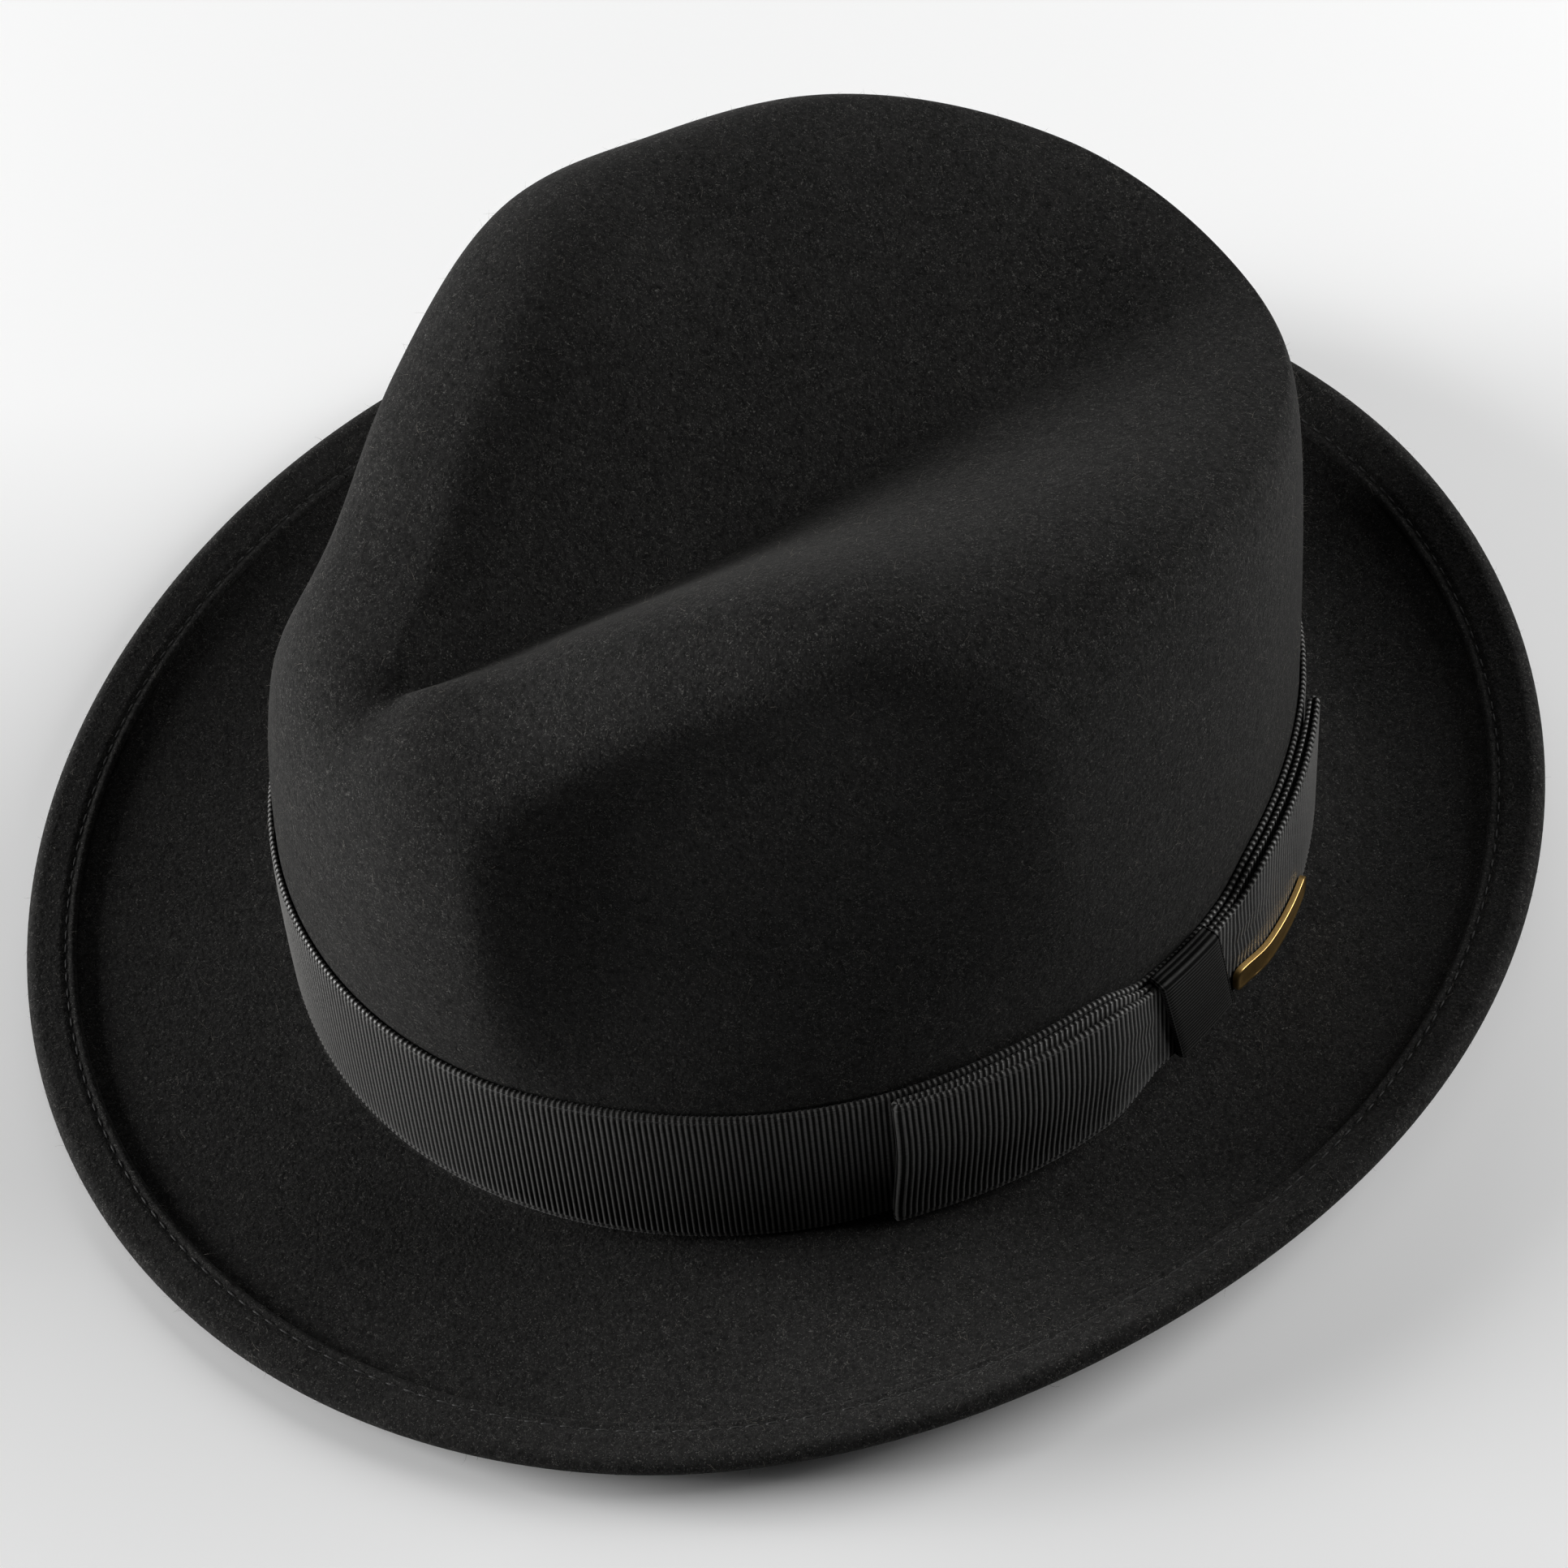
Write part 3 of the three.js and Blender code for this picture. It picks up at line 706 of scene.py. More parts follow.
@dataclass
class FeltBody:
    """Crown and brim in one piece of felt, with the folded edge sewn down on top."""

    crown: Crown
    brim: Brim
    weld: float = 1e-7
    around: int = 288
    wall_rows: int = 44
    top_rows: int = 28
    brim_rows: int = 26
    break_rows: int = 5
    edge_rows: int = 12
    lip_rows: int = 6
    fold_rows: int = 13
    under_rows: int = 3
    tuck: float = 2.2
    tuck_steps: tuple[float, float] = (0.6, 1.4)
    tuck_gap: float = 0.35
    lip_radius: float = 0.8
    seam_inside: float = 2.0
    seam_half: float = 0.9
    seam_deep: float = 0.42
    rings: list = field(default_factory=list)
    outer_rings: int = 0

    @property
    def bearings(self) -> Array:
        """Bearings of the columns."""
        return np.arange(self.around) * 360 / self.around

    @property
    def fold_run(self) -> float:
        """Width of the fold inside the middle of the rounded edge."""
        return self.brim.welt_width - self.brim.edge_radius

    def fold_point(self, inside: float, layer: float) -> Array:
        """Ring of the brim a distance in from the fold's inner edge, raised by a layer."""
        share = self.brim.share_inside(self.bearings, self.fold_run - inside)
        return self.brim.point(self.bearings, share, np.full(self.around, layer))

    def crown_rings(self) -> list:
        """Rings of the crown's outer face, from the crease down to the corner."""
        bearings = self.bearings
        first = self.crown.wall_share_at(bearings, np.full(self.around, self.crown.break_radius))
        rings = [
            self.crown.top(bearings, np.full(self.around, 1 - row / self.top_rows))
            for row in range(self.top_rows)
        ]
        for row in range(self.wall_rows + 1):
            share = 1 - row / self.wall_rows
            rings.append(self.crown.wall(bearings, first + (1 - first) * share))
        return rings

    def inner_rings(self, rings: list) -> list:
        """Rings moved in by the felt's thickness along the surface's normals."""
        stack = np.array(rings)
        mirror = (-np.arange(self.around)) % self.around
        before = np.concatenate([stack[1:2, mirror], stack[:-1]])
        after = np.concatenate([stack[1:], stack[-1:]])
        around = np.roll(stack, -1, axis=1) - np.roll(stack, 1, axis=1)
        normals = np.cross(after - before, around)
        normals[0] = (0, 0, 1)
        return list(stack - unit(normals) * self.crown.felt)

    def fold_rings(self) -> list:
        """Rings of the tuck under the fold, its inner lip and its sewn upper face."""
        felt, gap, lip = self.brim.welt_felt, self.tuck_gap, self.lip_radius
        near, far = self.tuck_steps
        rings = [self.fold_point(inside, 0) for inside in (near, far, self.tuck)]
        rings += [self.fold_point(inside, gap) for inside in (self.tuck, far, lip)]
        for step in range(1, self.lip_rows):
            turn = math.pi * (step / self.lip_rows)
            height = gap + (felt - gap) * (1 - math.cos(turn)) / 2
            rings.append(self.fold_point(lip * (1 - math.sin(turn)), height))
        for step in range(self.fold_rows):
            inside = lip + (self.fold_run - lip) * step / self.fold_rows
            offset = np.array(inside - self.seam_inside)
            dip = self.seam_deep * float(hump(offset, self.seam_half, self.seam_half))
            rings.append(self.fold_point(inside, felt - dip))
        return rings

    def corner_rings(self, rows: list, layer: float) -> list:
        """Rings of the round corner between wall and brim."""
        return [self.brim.corner(self.bearings, row / self.break_rows, layer) for row in rows]

    def brim_rings(self, shares: list, layer: float) -> list:
        """Rings of the brim at shares of its run, raised by a layer."""
        heights = np.full(self.around, layer)
        return [self.brim.point(self.bearings, share, heights) for share in shares]

    def profile(self) -> list:
        """All rings of the closed felt, outer face first."""
        outer, below = self.crown_rings(), -self.crown.felt
        start = self.brim.share_inside(self.bearings, self.fold_run)
        steps = [start * (row / self.brim_rows) for row in range(self.brim_rows + 1)]
        rings = outer + self.corner_rings(list(range(self.break_rows))[::-1], 0)
        rings += self.brim_rings(steps[1:], 0) + self.fold_rings()
        for row in range(self.edge_rows + 1):
            rings.append(self.brim.edge(self.bearings, row / self.edge_rows))
        self.outer_rings = len(rings)
        under = [1 - (1 - start) * row / self.under_rows for row in range(1, self.under_rows)]
        rings += self.brim_rings(under + steps[::-1], below)
        rings += self.corner_rings(list(range(1, self.break_rows)), self.crown.felt)
        return rings + self.inner_rings(outer)[::-1]

    def build(self, middle: float) -> Piece:
        """Builds the closed felt.

        Args:
            middle: how far the hat's middle lies behind the oval's, in millimetres.

        Returns:
            The felt's object.
        """
        self.rings = self.profile()
        points = np.array(self.rings).reshape(-1, 3) - (0, middle, 0)
        quads, _, _ = lattice(len(self.rings), self.around, False, True)
        piece = new_piece("hat_felt", points * MM, quads.tolist())
        form = bmesh.new()
        form.from_mesh(piece.data)
        bmesh.ops.remove_doubles(form, verts=form.verts, dist=self.weld)
        form.to_mesh(piece.data)
        form.free()
        return piece


@dataclass
class WeltStitches:
    """Row of short stitches that holds the folded edge down."""

    brim: Brim
    felt: FeltBody
    pitch: float = 3.3
    length: float = 2.3
    thickness: float = 0.42
    sides: int = 6
    cuts: int = 3
    bend: float = 0.55
    taper: float = 0.35
    lift: float = 0.1
    bearing_step: float = 0.25

    def pattern(self) -> tuple:
        """Models one stitch along x with its ends bent down.

        Returns:
            Its corner places in millimetres and its faces.
        """
        bpy.ops.object.select_all(action="DESELECT")
        bpy.ops.mesh.primitive_cylinder_add(
            vertices=self.sides,
            radius=self.thickness / 2,
            depth=self.length,
            end_fill_type="TRIFAN",
            rotation=(0, math.pi / 2, 0),
        )
        stitch = bpy.context.object
        bpy.ops.object.transform_apply(location=False, rotation=True, scale=False)
        form = bmesh.new()
        form.from_mesh(stitch.data)
        sides = edges_longer(form, 0, self.length / 2)
        bmesh.ops.subdivide_edges(form, edges=sides, cuts=self.cuts)
        for vertex in form.verts:
            share = 2 * vertex.co.x / self.length
            vertex.co.z -= self.bend * self.thickness * share**4
            vertex.co.y *= 1 - self.taper * share**4
        form.to_mesh(stitch.data)
        form.free()
        points = np.array([vertex.co for vertex in stitch.data.vertices])
        faces = [list(face.vertices) for face in stitch.data.polygons]
        bpy.data.objects.remove(stitch)
        return points, faces

    def build(self, middle: float) -> Piece:
        """Lays a copy of the stitch at each pitch along the seam."""
        dense = np.arange(0, 360, self.bearing_step)
        inside = self.felt.fold_run - self.felt.seam_inside
        share = self.brim.share_inside(dense, inside)
        layer = np.full(dense.shape, self.brim.welt_felt - self.felt.seam_deep + self.lift)
        seam = self.brim.point(dense, share, layer)
        above = self.brim.point(dense, share, layer + 1) - seam
        steps = np.linalg.norm(np.roll(seam, -1, axis=0) - seam, axis=1)
        run = running(steps)
        count = int(run[-1] / self.pitch)
        pattern, faces = self.pattern()
        points, all_faces = [], []
        for index in range(count):
            place = np.searchsorted(run, run[-1] * index / count, side="right") - 1
            along = unit(seam[(place + 1) % len(seam)] - seam[place])
            side = np.cross(above[place], along)
            offset = len(points) * len(pattern)
            points.append(seam[place] + pattern @ np.array([along, side, above[place]]))
            all_faces += [[corner + offset for corner in face] for face in faces]
        placed = (np.concatenate(points) - (0, middle, 0)) * MM
        return new_piece("welt_stitches", placed, all_faces)


@dataclass(frozen=True)
class GatherSection:
    """Edges of the ribbon at a place along it, drawn together by the knot."""

    at: float
    low: float
    high: float


@dataclass
class RibbonWeave:
    """Ribbed ribbon laid as a closed thin strip, with raised ribs and rounded selvages.

    Each _run and _deep is the width and the depth of a form beside the selvage.
    """

    MAP = "ribbon_weave"
    width: float = 37.5
    thickness: float = 1.0
    pitch: float = 1.08
    rib_height: float = 0.36
    selvage: float = 1.2
    selvage_height: float = 0.12
    selvage_wave: float = 0.6
    tooth: float = 0.3
    rib_sharpness: float = 0.7
    blend_run: float = 0.5
    round_deep: float = 0.35
    round_run: float = 0.45
    groove_deep: float = 0.22
    groove_runs: tuple[float, float] = (0.3, 0.35)
    edge_places: tuple[float, ...] = (0, 0.25, 0.6, 0.9, 1.1, 1.35, 1.9)
    middle_from: float = 0.14
    middle_rows: int = 6
    back_rows: int = 5

    def across(self) -> Array:
        """Places of the outer face's rows across the ribbon, 0 to 1, close at the selvages."""
        edge = np.array(self.edge_places) / self.width
        middle = np.linspace(self.middle_from, 1 - self.middle_from, self.middle_rows)
        return np.concatenate([edge, middle, 1 - edge[::-1]])

    def relief(self, along: Array, across: Array) -> Array:
        """Height of the outer face over the strip's own face, always at or below it."""
        phase = np.cos(2 * math.pi * along / self.pitch)
        body = self.rib_height * ((0.5 - 0.5 * phase) ** self.rib_sharpness - 1)
        inside = np.minimum(across, 1 - across) * self.width
        share = smoothstep((inside - self.selvage) / self.blend_run)
        rounding = self.round_deep * (1 - smoothstep(inside / self.round_run))
        groove = self.groove_deep * hump(inside - self.selvage, *self.groove_runs)
        wave = self.selvage_wave * np.cos(4 * math.pi * along / self.pitch)
        selvage = self.selvage_height * (wave - 1)
        return share * body + (1 - share) * selvage - rounding - groove

    def build(self, name: str, place: Placing, along: Array, closed: bool, middle: float) -> Piece:
        """Builds a strip of ribbon.

        Args:
            name: the piece's name.
            place: gives points from distances along, shares across and heights off the middle.
            along: distances of the columns, with one more than the columns where it is closed.
            closed: the strip's end joins its start.
            middle: how far the hat's middle lies behind the oval's, in millimetres.

        Returns:
            The strip's object, with its weave map.
        """
        columns = along[:-1] if closed else along
        outer = self.across()
        half = self.thickness / 2
        shares = np.concatenate([outer, np.linspace(1, 0, self.back_rows)])
        grid_along, grid_across = np.meshgrid(columns, shares)
        height = np.full(grid_along.shape, -half)
        height[: len(outer)] = half + self.relief(grid_along, grid_across)[: len(outer)]
        points = place(grid_along, grid_across, height) - (0, middle, 0)
        rows, count = grid_along.shape
        quads, across_index, along_index = lattice(rows, count, True, closed)
        points = points.reshape(-1, 3) * MM
        faces = quads.tolist()
        corners = np.stack([along[along_index], self.width * shares[across_index % rows]], -1) * MM
        weave = corners.reshape(-1, 2).tolist()
        turned = enclosed(points, quads) < 0
        if turned:
            faces = [face[::-1] for face in faces]
            weave = corners[:, ::-1].reshape(-1, 2).tolist()
        for column in () if closed else (0, count - 1):
            order = list(range(rows))[:: 1 if (column == 0) != turned else -1]
            faces.append([row * count + column for row in order])
            weave += [[along[column] * MM, self.width * shares[row] * MM] for row in order]
        piece = new_piece(name, points, faces)
        layer = piece.data.uv_layers.new(name=self.MAP)
        layer.data.foreach_set("uv", np.array(weave, np.float32).ravel())
        return piece


class Side(Enum):
    """Side of the knot on which a loop lies."""

    FRONT = -1
    BACK = 1


@dataclass
class Route:
    """Line that a ribbon's middle follows, with two measures at each length along it."""

    length: Array
    first: Array
    second: Array

    @classmethod
    def through(cls, first: Array, second: Array) -> "Route":
        """Route through the points with these two measures."""
        steps = np.hypot(np.diff(first), np.diff(second))
        return cls(running(steps), first, second)

    def evenly(self, count: int) -> "Route":
        """The same route at evenly spaced lengths."""
        even = np.linspace(0, self.length[-1], count)
        measures = (np.interp(even, self.length, values) for values in (self.first, self.second))
        return Route(even, *measures)

    def columns(self, pitch: float) -> Array:
        """Lengths of a ribbon's columns, the same number for each rib."""
        ribs = int(self.length[-1] / pitch)
        return np.linspace(0, self.length[-1], COLUMNS_PER_RIB * ribs + 1)

    def at(self, distance: Array, height: Values = 0) -> tuple:
        """Both measures at lengths along the route and heights off it.

        Args:
            distance: lengths along the route.
            height: heights off it, at right angles.

        Returns:
            The two measures.
        """
        first, second = self.first, self.second
        slopes = np.gradient(first, self.length), np.gradient(second, self.length)
        measures = (first, second, *slopes)
        u, v, du, dv = (np.interp(distance, self.length, values) for values in measures)
        size = np.hypot(du, dv)
        return u + height * dv / size, v - height * du / size


@dataclass
class Trim:
    """Sizes and routes that band, bow and bar share."""

    crown: Crown
    weave: RibbonWeave
    gap: float = 0.3
    knot_bearing: float = 111.5
    knot_width: float = 15
    knot_slant: float = 5
    knot_corner: float = 1.4
    front_loop: float = 64
    back_loop: float = 58
    front_heave: float = 1.6
    back_heave: float = 0.7
    heave_at: float = 0.25
    fold_radius: float = 0.8
    half_span: float = 200
    half_samples: int = 2000
    gather: tuple[GatherSection, ...] = (
        GatherSection(-1.25, 0, 1),
        GatherSection(-1, 0.02, 1),
        GatherSection(-0.6, 0.05, 1),
        GatherSection(-0.32, 0.09, 0.97),
        GatherSection(-0.17, 0.15, 0.86),
        GatherSection(0.2, 0.15, 0.86),
        GatherSection(0.38, 0.07, 0.96),
        GatherSection(0.7, 0.02, 1),
        GatherSection(1, 0.01, 1),
        GatherSection(1.25, 0, 1),
    )

    def __post_init__(self) -> None:
        """Measures the head oval from the middle of the knot both ways."""
        span = np.linspace(-self.half_span, self.half_span, 2 * self.half_samples + 1)
        self.bearings = self.knot_bearing + span
        foot = self.crown.foot(self.bearings)
        run = running(np.linalg.norm(np.diff(foot, axis=0), axis=1))
        self.runs = run - run[self.half_samples]

    @property
    def foot(self) -> float:
        """Height of the ribbon's lower edge over the brim."""
        return self.crown.break_radius - self.gap

    @property
    def band_outer(self) -> float:
        """Outer face of the band, out from the crown."""
        return self.gap + self.weave.thickness

    @property
    def inner_layer(self) -> float:
        """Middle of a loop's inner layer, out from the crown."""
        return self.band_outer + self.gap + self.weave.thickness / 2

    @property
    def covered(self) -> float:
        """Reach of the slanting knot over the loops."""
        return (self.knot_width + self.knot_slant) / 2

    def bearing(self, along: Array) -> Array:
        """Bearings at distances along the band from the middle of the knot."""
        return np.interp(along, self.runs, self.bearings)

    def edges(self, along: Array) -> tuple:
        """Heights of the ribbon's lower and upper edge over the brim."""
        share = np.where(along < 0, along / self.front_loop, along / self.back_loop)
        low = from_table(self.gather, "low", share) * self.weave.width
        high = from_table(self.gather, "high", share) * self.weave.width
        return self.foot + low, self.foot + high

    def toothed(self, run: Array, distance: Array, across: Array) -> Array:
        """Heights over the brim across a ribbon, toothed with its ribs at both selvages."""
        low, high = self.edges(run)
        tooth = self.weave.tooth * np.cos(2 * math.pi * distance / self.weave.pitch)
        ends = ((across >= 1) * 1.0 - (across <= 0) * 1.0) * 0.5
        return low + (high - low) * across + tooth * ends

    def loop_end(self, reach: float) -> float:
        """Distance along the band at which a loop's fold starts."""
        return reach - self.fold_radius - self.weave.thickness / 2

    def lay(self, along: Array, up: Array, out: Array) -> Array:
        """Points at distances along the band, heights over the brim and distances out."""
        return self.crown.off_wall(self.bearing(along), up, out)

    def outer_layer(self, run: Array, end: float, heave: float) -> Array:
        """Middle of a loop's outer layer, flat under the knot and heaved up beyond it."""
        flat = self.inner_layer + self.weave.thickness + self.gap
        at_fold = self.inner_layer + 2 * self.fold_radius
        share = np.clip((run - self.covered) / (end - self.covered), 0, 1)
        bulge = heave * hump(share - self.heave_at, self.heave_at, 1 - self.heave_at)
        return flat + (at_fold - flat) * smoothstep(share) + bulge


@dataclass
class RibbonBand:
    """Ribbon round the foot of the crown."""

    trim: Trim

    def build(self, middle: float) -> Piece:
        """Builds the band with a whole number of ribs."""
        trim = self.trim
        start = trim.knot_bearing - 180
        first = np.interp(start, trim.bearings, trim.runs)
        last = np.interp(start + 360, trim.bearings, trim.runs)
        ribs = round((last - first) / trim.weave.pitch)
        along = np.linspace(0, ribs * trim.weave.pitch, COLUMNS_PER_RIB * ribs + 1)
        scale = (last - first) / along[-1]

        def place(distance: Array, across: Array, height: Array) -> Array:
            """Points of the band."""
            run = first + distance * scale
            out = trim.gap + trim.weave.thickness / 2 + height
            return trim.lay(run, trim.toothed(run, distance, across), out)

        return trim.weave.build("band_ribbon", place, along, True, middle)


@dataclass
class BowLoop:
    """Flattened loop of ribbon from the knot out to its fold and back.

    The outer layer leans, so that its fold isn't square to the band, and ripples beside the knot.
    """

    trim: Trim
    side: Side
    lean: float = 1.3
    ripple: float = 0.45
    ripple_rise: float = 3
    ripple_run: float = 14
    ripples: float = 3
    straight_steps: int = 400
    fold_steps: int = 60

    @property
    def reach(self) -> float:
        """Distance from the middle of the knot to the end of the loop."""
        return self.trim.front_loop if self.side is Side.FRONT else self.trim.back_loop

    def route(self) -> Route:
        """Route of the ribbon's middle: distances from the knot and out from the crown."""
        trim = self.trim
        end = trim.loop_end(self.reach)
        heave = trim.front_heave if self.side is Side.FRONT else trim.back_heave
        runs = np.linspace(trim.gap, end, self.straight_steps)
        angle = np.linspace(-math.pi / 2, math.pi / 2, self.fold_steps)[1:-1]
        turn_run = end + trim.fold_radius * np.cos(angle)
        turn_out = trim.inner_layer + trim.fold_radius * (1 + np.sin(angle))
        run = np.concatenate([runs, turn_run, runs[::-1]])
        outer = trim.outer_layer(runs, end, heave)[::-1]
        out = np.concatenate([np.full(self.straight_steps, trim.inner_layer), turn_out, outer])
        return Route.through(run, out)

    def build(self, middle: float) -> Piece:
        """Builds the loop."""
        trim, sign, route = self.trim, self.side.value, self.route()

        def place(distance: Array, across: Array, height: Array) -> Array:
            """Points of the loop."""
            run, out = route.at(distance)
            from_knot, from_crown = route.at(distance, height)
            free = smoothstep((run - trim.covered) / trim.covered)
            curve = (np.sin(math.pi * across) ** 2 - np.cos(math.pi * across)) / 2
            layer = smoothstep((out - trim.inner_layer) / trim.weave.thickness)
            near = hump(run - trim.covered - self.ripple_rise, self.ripple_rise, self.ripple_run)
            wave = 0.5 + 0.5 * np.sin(2 * math.pi * self.ripples * across)
            along = sign * (from_knot - self.lean * free * curve)
            up = trim.toothed(sign * run, distance, across)
            return trim.lay(along, up, from_crown + self.ripple * near * layer * wave)

        name = "bow_front_ribbon" if self.side is Side.FRONT else "bow_back_ribbon"
        return trim.weave.build(name, place, route.columns(trim.weave.pitch), False, middle)


@dataclass
class BowKnot:
    """Short cross ribbon over both loops, its lips reaching back to the band."""

    trim: Trim
    corner_steps: int = 16
    route_steps: int = 600

    def build(self, middle: float) -> Piece:
        """Builds the knot, its ribs along the band."""
        trim = self.trim
        thick = trim.weave.thickness
        inside = trim.inner_layer + thick + trim.gap + thick / 2 + trim.gap
        shelf = inside + thick / 2
        lip = trim.band_outer + trim.gap
        low, high = trim.edges(np.array([-trim.covered, trim.covered]))
        top, bottom = high.max() + trim.gap + thick / 2, low.min() - trim.gap - thick / 2
        radius = trim.knot_corner - thick / 2
        turn = np.linspace(0, math.pi / 2, self.corner_steps)
        sine, cosine = radius * np.sin(turn), radius * np.cos(turn)
        ups = [[top], top - radius + cosine, bottom + radius - sine, [bottom]]
        outs = [[lip], shelf - radius + sine, shelf - radius + cosine, [lip]]
        route = Route.through(np.concatenate(ups), np.concatenate(outs)).evenly(self.route_steps)

        def place(distance: Array, across: Array, height: Array) -> Array:
            """Points of the knot."""
            up, out = route.at(distance, height)
            slant = trim.knot_slant * (0.5 - (up - bottom) / (top - bottom))
            return trim.lay((across - 0.5) * trim.knot_width + slant, up, out)

        columns = route.columns(trim.weave.pitch)
        return trim.weave.build("bow_knot_ribbon", place, columns, False, middle)


@dataclass
class PinBar:
    """Plain metal bar with a raised rim, laid along the back loop's lower edge."""

    WEAR = "wear"
    trim: Trim
    length: float = 28
    width: float = 6
    thick: float = 1.1
    from_knot: float = 0.5
    raised: float = 1.6
    rim: float = 0.55
    hollow: float = 0.08
    step: float = 0.12
    edge: float = 0.4
    edge_segments: int = 3
    corner: float = 1.8
    corner_segments: int = 6
    bends: int = 24
    hollow_wear: float = 0.55
    smooth_angle: float = 35

    @staticmethod
    def rounded(form: bmesh.types.BMesh, edges: list, radius: float, segments: int) -> None:
        """Rounds some of a form's edges."""
        bmesh.ops.bevel(
            form, geom=edges, offset=radius, segments=segments, affect="EDGES", profile=0.5
        )

    def flat_bar(self) -> Piece:
        """Models the bar flat: x along, y out and z up, from a box with an inset, sunk face."""
        bpy.ops.object.select_all(action="DESELECT")
        size = Vector((self.length, self.thick, self.width))
        bpy.ops.mesh.primitive_cube_add(size=1, location=size / 2)
        bar = bpy.context.object
        bar.scale = size
        bpy.ops.object.transform_apply(location=True, rotation=False, scale=True)
        bpy.ops.object.mode_set(mode="EDIT")
        form = bmesh.from_edit_mesh(bar.data)
        corners = edges_longer(form, 1, self.thick / 2)
        self.rounded(form, corners, self.corner, self.corner_segments)
        for face in form.faces:
            face.select_set(face.normal.y > 0.9)
        bmesh.update_edit_mesh(bar.data)
        bpy.ops.mesh.inset(thickness=self.rim, depth=0)
        bpy.ops.mesh.inset(thickness=self.step, depth=-self.hollow)
        form = bmesh.from_edit_mesh(bar.data)
        rims = [
            edge
            for edge in form.edges
            if all(vertex.co.y > self.thick - self.hollow / 2 for vertex in edge.verts)
            and any(abs(face.normal.y) < 0.5 for face in edge.link_faces)
        ]
        self.rounded(form, rims, self.edge / 2, self.edge_segments)
        for cut in range(1, self.bends):
            place = self.length * cut / self.bends
            geometry = [*form.verts, *form.edges, *form.faces]
            bmesh.ops.bisect_plane(form, geom=geometry, plane_co=(place, 0, 0), plane_no=(1, 0, 0))
        bmesh.update_edit_mesh(bar.data)
        bpy.ops.object.mode_set(mode="OBJECT")
        return bar

    def build(self, middle: float) -> Piece:
        """Bends the flat bar onto the loop and marks its worn rim."""
        trim = self.trim
        bar = self.flat_bar()
        bar.name = bar.data.name = "plain_bar"
        flat = np.array([vertex.co for vertex in bar.data.vertices])
        along = trim.covered + self.from_knot + flat[:, 0]
        outer = trim.outer_layer(along, trim.loop_end(trim.back_loop), trim.back_heave)
        back = outer + trim.weave.thickness / 2 + trim.gap
        low, _ = trim.edges(along)
        points = trim.lay(along, low + self.raised + flat[:, 2], back + flat[:, 1])
        bar.data.vertices.foreach_set("co", ((points - (0, middle, 0)) * MM).ravel())
        wear = bar.data.attributes.new(self.WEAR, "FLOAT", "POINT")
        sunk = flat[:, 1] < self.thick - self.hollow / 2
        wear.data.foreach_set("value", np.where(sunk, self.hollow_wear, 1.0))
        bar.data.update()
        bpy.ops.object.select_all(action="DESELECT")
        bar.select_set(True)
        bpy.context.view_layer.objects.active = bar
        bpy.ops.object.shade_smooth_by_angle(angle=math.radians(self.smooth_angle))
        return bar


